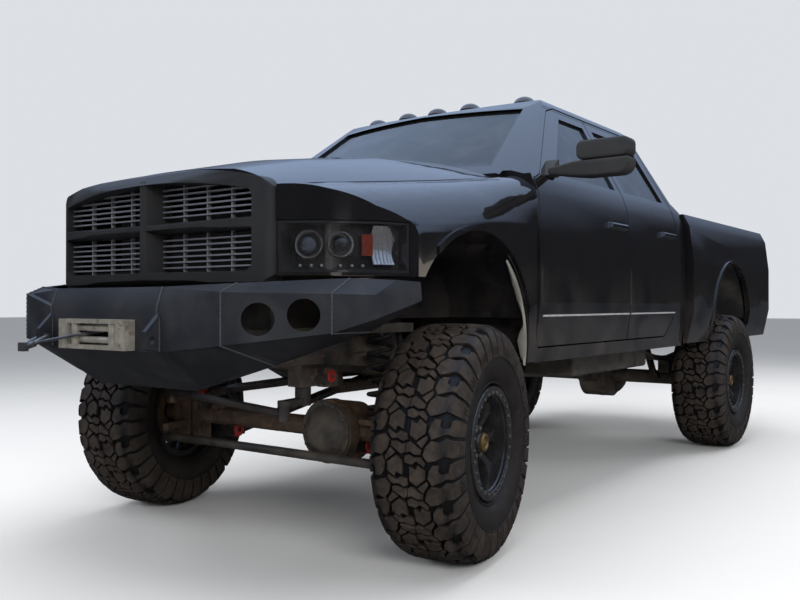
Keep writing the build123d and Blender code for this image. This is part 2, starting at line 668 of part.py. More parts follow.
def cab_side_face(inset):
    """Side outline of the cab, pulled in by inset; the glass line keeps its slope."""
    low = ROCKER_Z - 5 if inset == 0 else FLOOR_Z + 25
    back = CAB_BACK - inset
    slope = (SCREEN_HEAD[1] - SCREEN_FOOT[1]) / (SCREEN_HEAD[0] - SCREEN_FOOT[0])
    foot = SCREEN_FOOT[0] + inset * 1.25
    roof_s = SCREEN_HEAD[0] - 30 + inset * 0.7
    roof_front = (roof_s, SCREEN_FOOT[1] + slope * (roof_s - foot))
    roof_mid = (1760, ROOF_TOP_Z - inset)
    roof_back = (CAB_BACK - 215 - inset / 2, ROOF_TOP_Z - 65 - inset)
    if inset == 0:
        cowl = HOOD_REAR_MID + 12
        cowl_z = SCREEN_FOOT[1] + slope * (cowl - foot)
        front = [(CAB_FRONT, low), (CAB_FRONT, 1600), (cowl, 1600), (cowl, cowl_z)]
    else:
        dash_top = 1690
        front = [(CAB_FRONT + 30, low), (CAB_FRONT + 30, dash_top)]
        front.append((foot + (dash_top - SCREEN_FOOT[1]) / slope, dash_top))
    lines = Polyline(*front, roof_front)
    lines += ThreePointArc(roof_front, roof_mid, roof_back)
    lines += Polyline(roof_back, (CAB_BACK - 95 - inset, 1700), (back, 1640), (back, low), (front[0][0], low))
    return Plane.YZ * Pos(-MIDDLE, 0) * make_face(lines)


def screen_drum(inset):
    """Big leaning cylinder that gives the windscreen its curve."""
    run = SCREEN_HEAD[0] - SCREEN_FOOT[0]
    rise = SCREEN_HEAD[1] - SCREEN_FOOT[1]
    length = math.hypot(run, rise)
    lean = Vector(0, run / length, rise / length)
    inward = Vector(0, rise / length, -run / length)
    foot = Vector(0, at(SCREEN_FOOT[0]), SCREEN_FOOT[1])
    centre = foot + inward * (SCREEN_CURVE + inset + 1) - lean * 3000
    radius = SCREEN_CURVE
    plane = Plane(origin=centre, z_dir=lean)
    return extrude(plane * Circle(radius), amount=7000, dir=lean)


def cab_solid(inset):
    """Cab from crossed outlines, its windscreen rounded by the drum."""
    wide = extrude(Pos(-1200, 0, 0) * cab_side_face(inset), amount=2400, dir=(1, 0, 0))
    long = extrude(cab_front_face(inset), amount=2800, dir=(0, 1, 0))
    body = wide & long
    body &= screen_drum(inset) + block(-1200, 1200, 200, 3000, 500, 1660 - inset)
    corner = [(798 - inset, CAB_FRONT), (798 - inset, HOOD_REAR + 7), (400, HOOD_REAR_MID + 42),
              (0, HOOD_REAR_MID + 12), (0, 200), (1200, 200), (1200, CAB_FRONT)]
    return body - twin(prism("Z", corner, 1500, 1700 if inset else 1680))


cab_outer = cab_solid(0)
cab_inner = cab_solid(SKIN)
side_skin = cab_outer - cab_inner

# Door outlines seen from the side, columns: station, height
FRONT_DOOR = [(DOOR_FRONT, DOOR_LOW), (DOOR_SPLIT, DOOR_LOW), (DOOR_SPLIT, 2118), (1320, 2118), (1215, 2085),
              (705, 1665), (DOOR_FRONT, 1635)]
REAR_DOOR = [(DOOR_SPLIT + GAP, DOOR_LOW), (DOOR_BACK - 195, DOOR_LOW), (DOOR_BACK - 65, 960),
             (DOOR_BACK - 15, 1060), (DOOR_BACK, 1640), (DOOR_BACK - 80, 2085), (DOOR_BACK - 175, 2118),
             (DOOR_SPLIT + GAP, 2118)]
FRONT_WINDOW = [(900, 1688), (DOOR_SPLIT - 65, 1688), (DOOR_SPLIT - 55, 2062), (1345, 2062)]
REAR_WINDOW = [(DOOR_SPLIT + 70, 1688), (DOOR_BACK - 100, 1688), (DOOR_BACK - 160, 2030),
               (DOOR_BACK - 205, 2062), (DOOR_SPLIT + 70, 2062)]


def grown(points, by):
    """Outline pushed outwards by a gap."""
    face = make_face(Polyline(*points, close=True))
    return offset(face, amount=by, kind=Kind.INTERSECTION)


def side_cut(points, by, x0, x1):
    face = grown(points, by) if by else make_face(Polyline(*points, close=True))
    placed = Plane.YZ.offset(x0) * Pos(-MIDDLE, 0) * face
    return extrude(placed, amount=x1 - x0, dir=(1, 0, 0))


# The door wall is deeper below the belt than the window frame above it
side_tunnel = extrude(cab_front_face(SKIN), amount=2800, dir=(0, 1, 0))
door_wall = (cab_outer - side_tunnel) & block(500, 1100, CAB_FRONT, CAB_BACK, 1655, 2200)
door_wall += cab_outer & block(DOOR_IN, 1100, CAB_FRONT, CAB_BACK, 790, 1655)
door_cut = side_cut(FRONT_DOOR, GAP, DOOR_IN - 18, 1200) + side_cut(REAR_DOOR, GAP, DOOR_IN - 18, 1200)
door_cut += side_cut(FRONT_DOOR, GAP, 560, 1200) & block(500, 1200, 400, 2800, 1640, 2300)
door_cut += side_cut(REAR_DOOR, GAP, 560, 1200) & block(500, 1200, 400, 2800, 1640, 2300)

# Door handles stand out of the skin near each door's rear edge
HANDLE_S = {"front": 1408, "rear": 2216}
HANDLE_LONG = 240
HANDLE_Z = 1472
doors = {}
for tag, outline, window in (("front", FRONT_DOOR, FRONT_WINDOW), ("rear", REAR_DOOR, REAR_WINDOW)):
    door = door_wall & side_cut(outline, 0, 620, 1200)
    door -= side_cut(window, 0, 500, 1200)
    start = HANDLE_S[tag]
    end = start + HANDLE_LONG
    pull = side_cut([(start, HANDLE_Z - 16), (end, HANDLE_Z - 16), (end, HANDLE_Z + 18),
                     (start + 14, HANDLE_Z + 18)], 0, 950, 1003)
    door += chamfer(pull.faces().sort_by(Axis.X)[-1].edges(), 8)
    doors[tag] = door

cab = cab_outer - cab_inner
# Underside between the rockers is raised to the floor
cab -= block(-880, 880, 500, CAB_BACK + 10, 700, FLOOR_Z - 5)
cab -= twin(door_cut)
# Pillars and stops behind the door edges
stop_x = DOOR_IN - 0.3
stops = block(DOOR_IN - 20, 930, CAB_FRONT, DOOR_FRONT - GAP, 825, 1640)
stops += block(DOOR_IN - 20, stop_x, DOOR_FRONT - GAP - 2, DOOR_FRONT + 24, 825, 1640)
stops += block(DOOR_IN - 20, stop_x, DOOR_SPLIT - 42, DOOR_SPLIT + 48, 825, 1640)
stops += block(DOOR_IN - 20, stop_x, DOOR_BACK - 30, CAB_BACK - 40, 825, 1640)
post_band = cab_solid(SKIN + 0.3) - cab_solid(SKIN + 26)
stops += post_band & block(600, 1000, DOOR_SPLIT - 42, DOOR_SPLIT + 48, 1655.3, 2135)
stops += block(DOOR_IN - 20, stop_x, DOOR_SPLIT - 42, DOOR_SPLIT + 48, 1630, 1672)
cab += twin(stops)
SCREEN_HOLE = [(-725, 1712), (725, 1712), (612, 2098), (0, 2116), (-612, 2098)]
screen_cut = prism("Y", SCREEN_HOLE, 300, 1600)
screen_cut &= prism("X", [(300, 1600), (1500, 1600), (1500, 2200), (300, 2200)], -900, 900)
cab -= screen_cut
BACK_HOLE = [(-600, 1720), (600, 1720), (540, 2060), (-540, 2060)]
back_cut = prism("Y", BACK_HOLE, 2300, 2800)
cab -= back_cut
save("cab", cab)

glass_skin = cab_solid(14) - cab_solid(20)
screen_glass = glass_skin & screen_cut
screen_glass &= block(-900, 900, 300, 1400, 1600, 2200)
back_glass = glass_skin & back_cut
save("cab_glass", screen_glass + back_glass)

side_glass = {}
for tag, window in (("front", FRONT_WINDOW), ("rear", REAR_WINDOW)):
    pane = glass_skin & side_cut(window, 0, 620, 1200)
    side_glass[tag] = pane

# Mirror heads on short arms, carried by the front doors. Head outline from the front: x, z
MIRROR_S = 800
MIRROR_OUT = 1355
HEAD_LINE = [(1096, 1642), (1310, 1640), (MIRROR_OUT, 1672), (MIRROR_OUT, 1790), (1328, 1812),
             (1128, 1812), (1096, 1784)]
head_face = make_face(Polyline(*HEAD_LINE, close=True))
head_face = fillet(head_face.vertices(), 16)
head_plane = Plane(origin=(0, at(MIRROR_S + 48), 0), x_dir=(1, 0, 0), z_dir=(0, -1, 0))
mirror_head = extrude(head_plane * head_face, amount=112, dir=(0, -1, 0))
front_rim = mirror_head.faces().sort_by(Axis.Y)[0].edges()
mirror_head = chamfer(front_rim, 24, 14)
# The glass sits a little inside the head's rear rim
mirror_glass = offset(head_face, amount=-14)
mirror_head -= extrude(head_plane * mirror_glass, amount=9, dir=(0, -1, 0))
mirror_foot = prism("X", [(752, 1664), (872, 1664), (872, 1764)], 880, 958)
mirror_arm = prism("Y", [(930, 1664), (1000, 1664), (1110, 1676), (1110, 1716), (1000, 1700), (930, 1700)],
                   MIRROR_S - 34, MIRROR_S + 30)
mirror_piece = mirror_head + mirror_arm + mirror_foot
mirror_piece -= cab_outer

for side_name, turn in (("left", lambda p: p), ("right", flip)):
    save("door_front_" + side_name, turn(doors["front"]))
    save("door_rear_" + side_name, turn(doors["rear"]))
    save("glass_front_" + side_name, turn(side_glass["front"]))
    save("glass_rear_" + side_name, turn(side_glass["rear"]))
    save("mirror_" + side_name, turn(mirror_piece))

# Roof marker lamps, columns: x, station
HEAD_S = SCREEN_HEAD[0]
ROOF_LAMPS = [(0, HEAD_S + 111), (218, HEAD_S + 120), (518, HEAD_S + 211)]
LAMP_R = 62
LAMP_H = 40
dome = Pos(0, 0, LAMP_H / 2 - 15) * Cylinder(LAMP_R, LAMP_H + 30)
dome = fillet(dome.faces().sort_by(Axis.Z)[-1].edges(), 26)


def roof_height(x, s):
    """Height of the roof over a point of the plan."""
    return (cab_outer & rod((x, s, 1900), (x, s, 2400), 1)).bounding_box().max.Z


lamp_row = None
for x, s in ROOF_LAMPS:
    for side in ((1,) if x == 0 else (1, -1)):
        pod = Pos(side * x, at(s), roof_height(x, s)) * dome
        lamp_row = pod if lamp_row is None else lamp_row + pod
lamp_row -= cab_outer
save("roof_lamps", lamp_row)

# Inside of the cab
dash = prism("X", [(630, 1300), (1000, 1250), (1030, 1500), (940, 1590), (630, 1600)], -820, 820)
column = rod((420, 1000, 1420), (420, 1186, 1492.3), 28)
column_plane = Plane(origin=(420, at(1195), 1496), z_dir=(0, 180, 70))
wheel_ring = column_plane * Torus(180, 15)
spoke = column_plane * Box(350, 40, 14)
hub_cap = column_plane * Cylinder(50, 30)
save("dashboard", dash + column + wheel_ring + spoke + hub_cap)

# Seats, columns: centre x, half width, front station, back station
SEATS = [(440, 260, 1150, 1650), (-440, 260, 1150, 1650)]
seat_set = None
for x, half, s0, s1 in SEATS:
    seat = block(x - half, x + half, s0, s1, FLOOR_Z + 25, 1200)
    back = prism("X", [(s1 - 90, 1190), (s1 + 30, 1190), (s1 + 150, 1850), (s1 + 50, 1850)],
                 x - half, x + half)
    seat_set = seat + back if seat_set is None else seat_set + seat + back
BENCH_BACK = CAB_BACK - 195
bench = block(-720, 720, BENCH_BACK - 470, BENCH_BACK - 20, FLOOR_Z + 25, 1200)
bench += prism("X", [(BENCH_BACK - 130, 1190), (BENCH_BACK, 1190), (BENCH_BACK - 20, 1780),
                     (BENCH_BACK - 100, 1780)], -720, 720)
save("seats", seat_set + bench)

# Front bumper of folded plates. Each row is one fold line's section on the left side: top edge,
# upper bend, lower bend, bottom edge, each as x, station, height, then how far the plate's
# inner side is moved in x and station
BUMPER_FACE = -1043
BUMPER_ROWS = [
    ((330, -1018, 1110), (330, BUMPER_FACE, 1039), (330, BUMPER_FACE, 876), (300, -838, 722), (0, 12)),
    ((600, -912, 1122), (600, -990, 1090), (600, -990, 906), (590, -720, 822), (5, 12)),
    ((880, -640, 1140), (880, -738, 1084), (880, -738, 947), (840, -470, 944), (9, 9)),
    ((956, -470, 1136), (960, -594, 1081), (960, -594, 994), (925, -400, 1008), (12, 3)),
    ((985, -355, 1130), (990, -355, 1080), (990, -355, 1060), (965, -355, 1046), (12, 0)),
]


def bumper_loop(row, side):
    """Closed loop of one section: outer points down, inner points back up."""
    outer, (dx, ds) = row[:4], row[4]
    inner = [(x - dx, s + ds, z) for x, s, z in reversed(outer)]
    return [(side * x, at(s), z) for x, s, z in list(outer) + inner]


def plate_solid(loops):
    """Plate between closed loops, each strip as two flat triangles, both ends closed."""
    faces = []
    count = len(loops[0])
    for a, b in zip(loops, loops[1:]):
        for k in range(count):
            m = (k + 1) % count
            faces.append(panel(a[k], b[k], b[m]))
            faces.append(panel(a[k], b[m], a[m]))
    for loop in (loops[0], loops[-1]):
        for k in range(count // 2 - 1):
            far = count - 1 - k
            faces.append(panel(loop[k], loop[k + 1], loop[far - 1]))
            faces.append(panel(loop[k], loop[far - 1], loop[far]))
    return solid_of(faces)


bumper = plate_solid([bumper_loop(row, -1) for row in reversed(BUMPER_ROWS)] +
                     [bumper_loop(row, 1) for row in BUMPER_ROWS])
# Round lamp holes square to the wings, columns: x, station, height
LIGHT_HOLES = [(693, -906, 996), (809, -802, 1010)]
for x, s, z in LIGHT_HOLES:
    bumper -= twin(rod((x - 60, s + 67, z), (x + 60, s - 67, z), 57))
bumper -= block(-190, 190, -1100, -1000, 884, 988)
bumper -= twin(block(RAIL_IN - 6, RAIL_OUT + 6, -884, -700, 700, 960))
# Cradle of the winch and the brackets to the rails
CRADLE_FRONT = BUMPER_FACE + 7
bumper += twin(block(190, 200, CRADLE_FRONT, -880, 874, 1004))
bumper += block(-195, 195, CRADLE_FRONT, -880, 874, 884)
bumper += twin(prism("Z", [(373, -1028), (427, -1018), (427, -880), (373, -880)], 890, 946))
save("front_bumper", bumper)

fairlead = block(-205, 205, -1090, -1043, 880, 992) - block(-150, 150, -1100, -1030, 896, 976)
fairlead += twin(rod((116, -1074, 890), (116, -1074, 982), 15))
fairlead += rod((-155, -1058, 914), (155, -1058, 914), 13) + rod((-155, -1058, 958), (155, -1058, 958), 13)
save("fairlead", fairlead)

winch = rod((-190, -955, 936), (190, -955, 936), 36)
for x in (-178, 100, 166):
    winch += rod((x, -955, 936), (x + 12, -955, 936), 47)
save("winch", winch)

hook_plate = prism("X", [(BUMPER_FACE, 878), (-1100, 892), (-1100, 952), (BUMPER_FACE, 1012)], 322, 344)
hook_plate -= disc(300, 360, -1074, 922, 13)
save("tow_tabs", twin(hook_plate))

shackle = rod((-357, -1074, 922), (-309, -1074, 922), 12.6)
shackle += bar([(-352, -1074, 922), (-354, -1122, 900), (-333, -1146, 890), (-312, -1122, 900),
                (-314, -1074, 922)], 8)
save("shackle", shackle)

cable = bar([(-60, -985, 936), (-60, -1090, 936), (-250, -1128, 905), (-300, -1140, 892)], 6)
hook = rod((-290, -1138, 894), (-322, -1148, 884), 11) + Pos(-338, at(-1158), 882) * Box(40, 22, 34)
cable_piece = cable + hook - winch - shackle
save("winch_cable", cable_piece)

# Load bed side, columns: x and z of the outer skin from the bottom up
BED_SKIN = [(985, BED_LOW_Z), (BED_X, 1000), (BED_X, 1330), (1002, 1560), (962, BED_RAIL_Z)]
SKIN_IN = 28
inner_line = [(x - SKIN_IN, z) for x, z in reversed(BED_SKIN[:-1])]
hollow_side = BED_SKIN + [(BED_IN_X, BED_RAIL_Z), (BED_IN_X, 1580), (970, 1580)] + inner_line
full_side = BED_SKIN + [(BED_IN_X, BED_RAIL_Z), (BED_IN_X, BED_FLOOR_Z), (960, BED_FLOOR_Z), (957, BED_LOW_Z)]
bed_side = prism("Y", hollow_side, BED_FRONT, BED_REAR)
bed_side += prism("Y", full_side, BED_FRONT, BED_FRONT + 30)
post = block(775, 1100, BED_REAR - 70, BED_REAR, 1022, BED_RAIL_Z)
outer_post = BED_SKIN + [(770, BED_RAIL_Z), (770, BED_LOW_Z)]
bed_side += post & prism("Y", outer_post, BED_FRONT, BED_REAR)
bed_side -= disc(700, 1200, REAR_ARCH_S, ARCH_Z, ARCH_R - 6)
bed_side -= block(700, 1200, REAR_ARCH_S - ARCH_R + 6, REAR_ARCH_S + ARCH_R - 6, 600, ARCH_Z)
lamp_box = block(790, 925, BED_REAR - 55, BED_REAR + 5, 1180, 1560)
bed_side -= lamp_box
# Rolled lip round the rear arch
lip_line = [(x + LIP_OUT, z) for x, z in BED_SKIN] + [(980, BED_RAIL_Z), (980, BED_LOW_Z)]
rear_lip = disc(700, 1200, REAR_ARCH_S, ARCH_Z, ARCH_R - 6 + LIP_WIDTH)
rear_lip -= disc(690, 1210, REAR_ARCH_S, ARCH_Z, ARCH_R - 6)
rear_lip &= prism("Y", lip_line, BED_FRONT + 40, BED_REAR - 80)
rear_lip &= block(1000, 1200, BED_FRONT, BED_REAR, ARCH_Z + 6, 1500)
bed_pair = twin(bed_side + rear_lip)
# Round fuel door on the left side: a narrow groove in the skin
FUEL_S = WHEELBASE - 430
FUEL_Z = 1400
FUEL_R = 84
bed_pair -= disc(1010, 1200, FUEL_S, FUEL_Z, FUEL_R) - disc(1000, 1210, FUEL_S, FUEL_Z, FUEL_R - 5)
save("bed_sides", bed_pair)
save("tail_lamps", twin(lamp_box))

tub_rear = BED_REAR - 70
tub = block(-BED_IN_X, BED_IN_X, BED_FRONT, tub_rear, BED_FLOOR_Z, BED_FLOOR_Z + 30)
tub += block(-BED_IN_X, BED_IN_X, BED_FRONT, BED_FRONT + 40, BED_FLOOR_Z, BED_RAIL_Z - 10)
tub += twin(block(BED_IN_X, BED_IN_X + 18, BED_FRONT + 30, tub_rear, BED_FLOOR_Z, 1580))
tub += twin(disc(590, BED_X - SKIN_IN - 18, REAR_ARCH_S, ARCH_Z, ARCH_R + 18) &
            block(500, 1100, REAR_ARCH_S - 694, REAR_ARCH_S + 706, 940, 1450))
tub -= twin(disc(602, 1100, REAR_ARCH_S, ARCH_Z, ARCH_R + 8))
# Sills under the floor, columns: station, top of the frame there
SILLS = [(CAB_BACK + 545, 940), (CAB_BACK + 945, 940), (BED_REAR - 660, 940), (BED_REAR - 160, 880)]
for s, rail_top in SILLS:
    tub += block(-560, 560, s - 40, s + 40, rail_top, BED_FLOOR_Z + 5)
save("bed_tub", tub)

GATE_S = BED_REAR - 4
GATE_Z = BED_FLOOR_Z + 10
tailgate = block(-765, 765, BED_REAR - 60, BED_REAR, BED_FLOOR_Z + 6, BED_RAIL_Z - 8)
tailgate += twin(disc(755, 774.7, GATE_S, GATE_Z, 8))
# Pressed field with sloped walls, and the handle's pocket above it
field = prism("Y", [(-600, 1120), (600, 1120), (600, 1430), (-600, 1430)], BED_REAR - 10, BED_REAR + 1)
tailgate -= chamfer(field.faces().sort_by(Axis.Y)[0].edges(), 9)
tailgate -= block(-120, 120, BED_REAR - 26, BED_REAR + 1, 1492, 1562)
tailgate += block(-98, 98, BED_REAR - 27, BED_REAR - 3, 1514, 1548)
save("tailgate", tailgate)

STEP_S = BED_REAR + 8
rear_plan = [(-960, STEP_S), (-915, STEP_S + 77), (-500, REAR_TIP), (500, REAR_TIP), (915, STEP_S + 77),
             (960, STEP_S), (900, STEP_S), (860, STEP_S + 32), (-860, STEP_S + 32), (-900, STEP_S)]
rear_bumper = prism("Z", rear_plan, 835, 1010)
corner_zone = block(790, 1000, BED_REAR - 60, REAR_TIP + 100, 800, 1200)
rear_bumper += prism("Z", rear_plan, 835, 1115) & twin(corner_zone)
save("rear_bumper", rear_bumper)

# Hitch receiver under the last cross member, with its pin hole
RECEIVER_Z = 713
TUBE_END = REAR_TIP - 8
TUBE_HALF = 32
SOCKET_HALF = 25.5
PIN_BACK = 47
receiver = block(-TUBE_HALF, TUBE_HALF, BED_REAR - 130, TUBE_END,
                 RECEIVER_Z - TUBE_HALF, RECEIVER_Z + TUBE_HALF)
receiver -= block(-SOCKET_HALF, SOCKET_HALF, BED_REAR - 100, TUBE_END + 8,
                  RECEIVER_Z - SOCKET_HALF, RECEIVER_Z + SOCKET_HALF)
collar = block(-42, 42, TUBE_END - 16, TUBE_END, RECEIVER_Z - 42, RECEIVER_Z + 42)
collar -= block(-TUBE_HALF, TUBE_HALF, TUBE_END - 22, TUBE_END + 8,
                RECEIVER_Z - TUBE_HALF, RECEIVER_Z + TUBE_HALF)
receiver += collar
receiver -= rod((-60, TUBE_END - PIN_BACK, RECEIVER_Z), (60, TUBE_END - PIN_BACK, RECEIVER_Z), 8)
save("receiver", receiver)
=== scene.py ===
import json
import math

import bmesh
import bpy
from mathutils import Matrix, Vector

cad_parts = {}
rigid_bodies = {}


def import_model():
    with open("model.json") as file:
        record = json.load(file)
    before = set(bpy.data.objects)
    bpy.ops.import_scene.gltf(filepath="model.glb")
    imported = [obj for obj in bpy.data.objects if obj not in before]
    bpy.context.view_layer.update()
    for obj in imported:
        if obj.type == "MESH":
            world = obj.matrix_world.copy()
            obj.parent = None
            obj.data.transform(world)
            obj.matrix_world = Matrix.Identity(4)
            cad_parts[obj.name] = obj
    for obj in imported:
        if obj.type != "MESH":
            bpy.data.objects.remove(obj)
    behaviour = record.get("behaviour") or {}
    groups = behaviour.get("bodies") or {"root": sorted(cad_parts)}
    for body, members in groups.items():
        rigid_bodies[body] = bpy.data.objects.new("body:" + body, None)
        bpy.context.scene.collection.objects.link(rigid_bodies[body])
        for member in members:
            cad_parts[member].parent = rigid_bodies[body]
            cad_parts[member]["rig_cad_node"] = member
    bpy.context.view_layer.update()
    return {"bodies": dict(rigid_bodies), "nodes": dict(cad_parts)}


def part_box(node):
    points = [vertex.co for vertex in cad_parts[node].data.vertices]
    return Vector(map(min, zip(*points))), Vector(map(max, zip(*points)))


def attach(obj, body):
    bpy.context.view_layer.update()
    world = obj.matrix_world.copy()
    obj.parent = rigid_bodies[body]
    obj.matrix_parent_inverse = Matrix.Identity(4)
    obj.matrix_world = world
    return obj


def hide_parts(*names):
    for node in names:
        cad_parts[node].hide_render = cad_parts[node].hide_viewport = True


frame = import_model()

# Ladder frame
# Two pressed steel rails with cross members, painted black at the works and since then dusted
# over with road dirt. Everything else is bolted to it.


class Wire:
    """One socket of a material, so that shader maths can be written as an expression."""

    def __init__(self, finish, socket):
        self.finish = finish
        self.socket = socket

    def maths(self, operation, first, second):
        return self.finish.node("ShaderNodeMath", {"operation": operation}, {0: first, 1: second})

    def __add__(self, other):
        return self.maths("ADD", self, other)

    def __sub__(self, other):
        return self.maths("SUBTRACT", self, other)

    def __rsub__(self, other):
        return self.maths("SUBTRACT", other, self)

    def __mul__(self, other):
        return self.maths("MULTIPLY", self, other)

    def __truediv__(self, other):
        return self.maths("DIVIDE", self, other)

    def highest(self, other):
        return self.maths("MAXIMUM", self, other)

    def lowest(self, other):
        return self.maths("MINIMUM", self, other)

    def size(self):
        return self.maths("ABSOLUTE", self, 0.0)

    __radd__ = __add__
    __rmul__ = __mul__


class Finish:
    """A material. node() adds any node to it, and the other methods are its usual patterns."""

    def __init__(self, name, **uniform):
        self.material = bpy.data.materials.new(name)
        self.material.use_nodes = True
        self.tree = self.material.node_tree
        self.surface = self.tree.nodes["Principled BSDF"]
        for socket, value in uniform.items():
            self.surface.inputs[socket.replace("_", " ")].default_value = value
        self.place = self.node("ShaderNodeTexCoord", out="Object")
        self.height = self.node("ShaderNodeSeparateXYZ", None, {0: self.place}, out="Z")
        self.across = self.node("ShaderNodeSeparateXYZ", None, {0: self.place}, out="X")

    def feed(self, socket, value):
        if isinstance(value, Wire):
            self.tree.links.new(value.socket, socket)
        else:
            socket.default_value = value

    def node(self, kind, settings=None, inputs=None, out=0):
        made = self.tree.nodes.new(kind)
        for key, value in (settings or {}).items():
            if key == "stops":
                while len(made.color_ramp.elements) < len(value):
                    made.color_ramp.elements.new(0.5)
                for stop, (at, colour) in zip(made.color_ramp.elements, value):
                    stop.position = at
                    stop.color = (*colour, 1)
            else:
                setattr(made, key, value)
        for key, value in (inputs or {}).items():
            self.feed(made.inputs[key], value)
        return Wire(self, made.outputs[out])

    def noise(self, scale, detail=4.0, rough=0.55, warp=0.0, stretch=None):
        place = self.place
        if stretch:
            place = self.node("ShaderNodeMapping", None, {"Vector": place, "Scale": stretch})
        inputs = {"Vector": place, "Scale": scale, "Detail": detail, "Roughness": rough, "Distortion": warp}
        return self.node("ShaderNodeTexNoise", None, inputs)

    def cells(self, scale):
        return self.node("ShaderNodeTexVoronoi", None, {"Vector": self.place, "Scale": scale}, out="Distance")

    def step(self, value, low, high, to_low=0.0, to_high=1.0):
        """Value taken from low..high to to_low..to_high and held there."""
        inputs = {"Value": value, 1: low, 2: high, 3: to_low, 4: to_high}
        return self.node("ShaderNodeMapRange", {"clamp": True}, inputs)

    def mix(self, mask, first, second):
        """Colour first where mask is 0 and second where it is 1."""
        first = first if isinstance(first, Wire) else (*first, 1)
        second = second if isinstance(second, Wire) else (*second, 1)
        return self.node("ShaderNodeMix", {"data_type": "RGBA"}, {0: mask, 6: first, 7: second}, out=2)

    def bump(self, height, depth):
        return self.node("ShaderNodeBump", None, {"Height": height, "Distance": depth, "Strength": 1.0})

    def wear(self, **changing):
        """Sets what changes over the surface: Base_Color, Roughness, Metallic, Normal and such."""
        for socket, value in changing.items():
            self.feed(self.surface.inputs[socket.replace("_", " ")], value)
        return self.material


def dusty_metal(name, colour, dust, low, high, rough, amount, metal=0.0, rust=0.0, grain=0.0006):
    """Painted or bare metal with some rust and with road dust, thick at height low and thin at high."""
    finish = Finish(name, Metallic=metal)
    cloud = finish.noise(9.0, 6.0, 0.62, 0.4)
    speck = finish.noise(160.0, 3.0, 0.7)
    near_ground = finish.step(finish.height, low, high, 1.0, 0.25)
    mask = finish.step(cloud * 0.65 + speck * 0.35, 0.36, 0.62) * near_ground * amount
    shade = finish.mix(finish.step(finish.noise(28.0, 5.0), 0.3, 0.7), colour, [v * 0.55 for v in colour])
    if rust:
        spots = finish.step(finish.noise(21.0, 7.0, 0.68, 0.9), 0.60 - rust * 0.2, 0.70 - rust * 0.12)
        rusty = finish.mix(finish.noise(70.0), (0.16, 0.055, 0.02), (0.07, 0.028, 0.014))
        shade = finish.mix(spots, shade, rusty)
        mask = mask.highest(spots * 0.6)
    shade = finish.mix(mask, shade, finish.mix(speck, dust, [v * 0.6 for v in dust]))
    return finish.wear(
        Base_Color=shade,
        Roughness=rough + mask * 0.4 + (speck - 0.5) * 0.1,
        Normal=finish.bump(speck * 0.4 + cloud * 0.6 + mask * 0.4, grain),
    )


# Body that carries each CAD node
BODY_OF = {}
for body_name, empty in frame["bodies"].items():
    for child in empty.children:
        BODY_OF[child.get("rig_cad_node", child.name)] = body_name


def new_piece(name, mesh, material, body, replaced=()):
    """Links a finished mesh, in its place, as one piece of the truck."""
    if material and not mesh.materials:
        mesh.materials.append(material)
    piece = bpy.data.objects.new(name, mesh)
    bpy.context.scene.collection.objects.link(piece)
    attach(piece, body)
    if replaced:
        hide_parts(*replaced)
    return piece


def smooth_by_angle(mesh, degrees):
    """Shades soft edges smooth and keeps those sharper than the angle."""
    work = bmesh.new()
    work.from_mesh(mesh)
    limit = math.radians(degrees)
    for face in work.faces:
        face.smooth = True
    for edge in work.edges:
        edge.smooth = len(edge.link_faces) == 2 and edge.calc_face_angle(0) < limit
    work.to_mesh(mesh)
    work.free()


def cad_copy(node):
    """A merged copy of a CAD node's mesh, its flat areas joined."""
    mesh = bpy.data.meshes.new(node)
    work = bmesh.new()
    work.from_mesh(frame["nodes"][node].data)
    for layer in list(work.loops.layers.float_vector.values()):
        work.loops.layers.float_vector.remove(layer)
    bmesh.ops.remove_doubles(work, verts=work.verts, dist=0.00002)
    bmesh.ops.dissolve_limit(work, angle_limit=math.radians(0.5), verts=work.verts, edges=work.edges)
    work.to_mesh(mesh)
    work.free()
    for label in ("custom_normal", "sharp_edge"):
        if label in mesh.attributes:
            mesh.attributes.remove(mesh.attributes[label])
    return mesh


def soften(node, name, material, width, angle=32, segments=2):
    """Dresses a CAD node: a copy takes its place, its edges sharper than angle rounded by width."""
    mesh = cad_copy(node)
    smooth_by_angle(mesh, angle)
    piece = new_piece(name, mesh, material, BODY_OF[node], (node,))
    if width:
        bevel = piece.modifiers.new("edges", "BEVEL")
        bevel.width = width
        bevel.segments = segments
        bevel.limit_method = "ANGLE"
        bevel.angle_limit = math.radians(angle)
        bevel.use_clamp_overlap = True
        bevel.harden_normals = False
        weighted = piece.modifiers.new("flats", "WEIGHTED_NORMAL")
        weighted.keep_sharp = False
    return piece


road_dust = (0.20, 0.160, 0.120)
frame_paint = dusty_metal("chassis_black", (0.018, 0.018, 0.019), road_dust, 0.6, 1.3, rough=0.5,
                          amount=0.55, rust=0.25)
soften("frame", "frame_rails", frame_paint, 0.004)

# Front and rear axles
# Cast housings and steel tubes, left in bare iron at the front, where mud and rust have stained
# them. Black stamped covers are bolted to the housings.

dried_mud = (0.19, 0.145, 0.10)
axle_iron = dusty_metal("axle_iron", (0.060, 0.045, 0.035), dried_mud, 0.3, 0.8, rough=0.55,
                        metal=0.25, amount=0.6, rust=0.8, grain=0.0012)
soften("front_axle", "axle_front", axle_iron, 0.004, 40)
soften("rear_axle", "axle_rear", frame_paint, 0.004, 40)


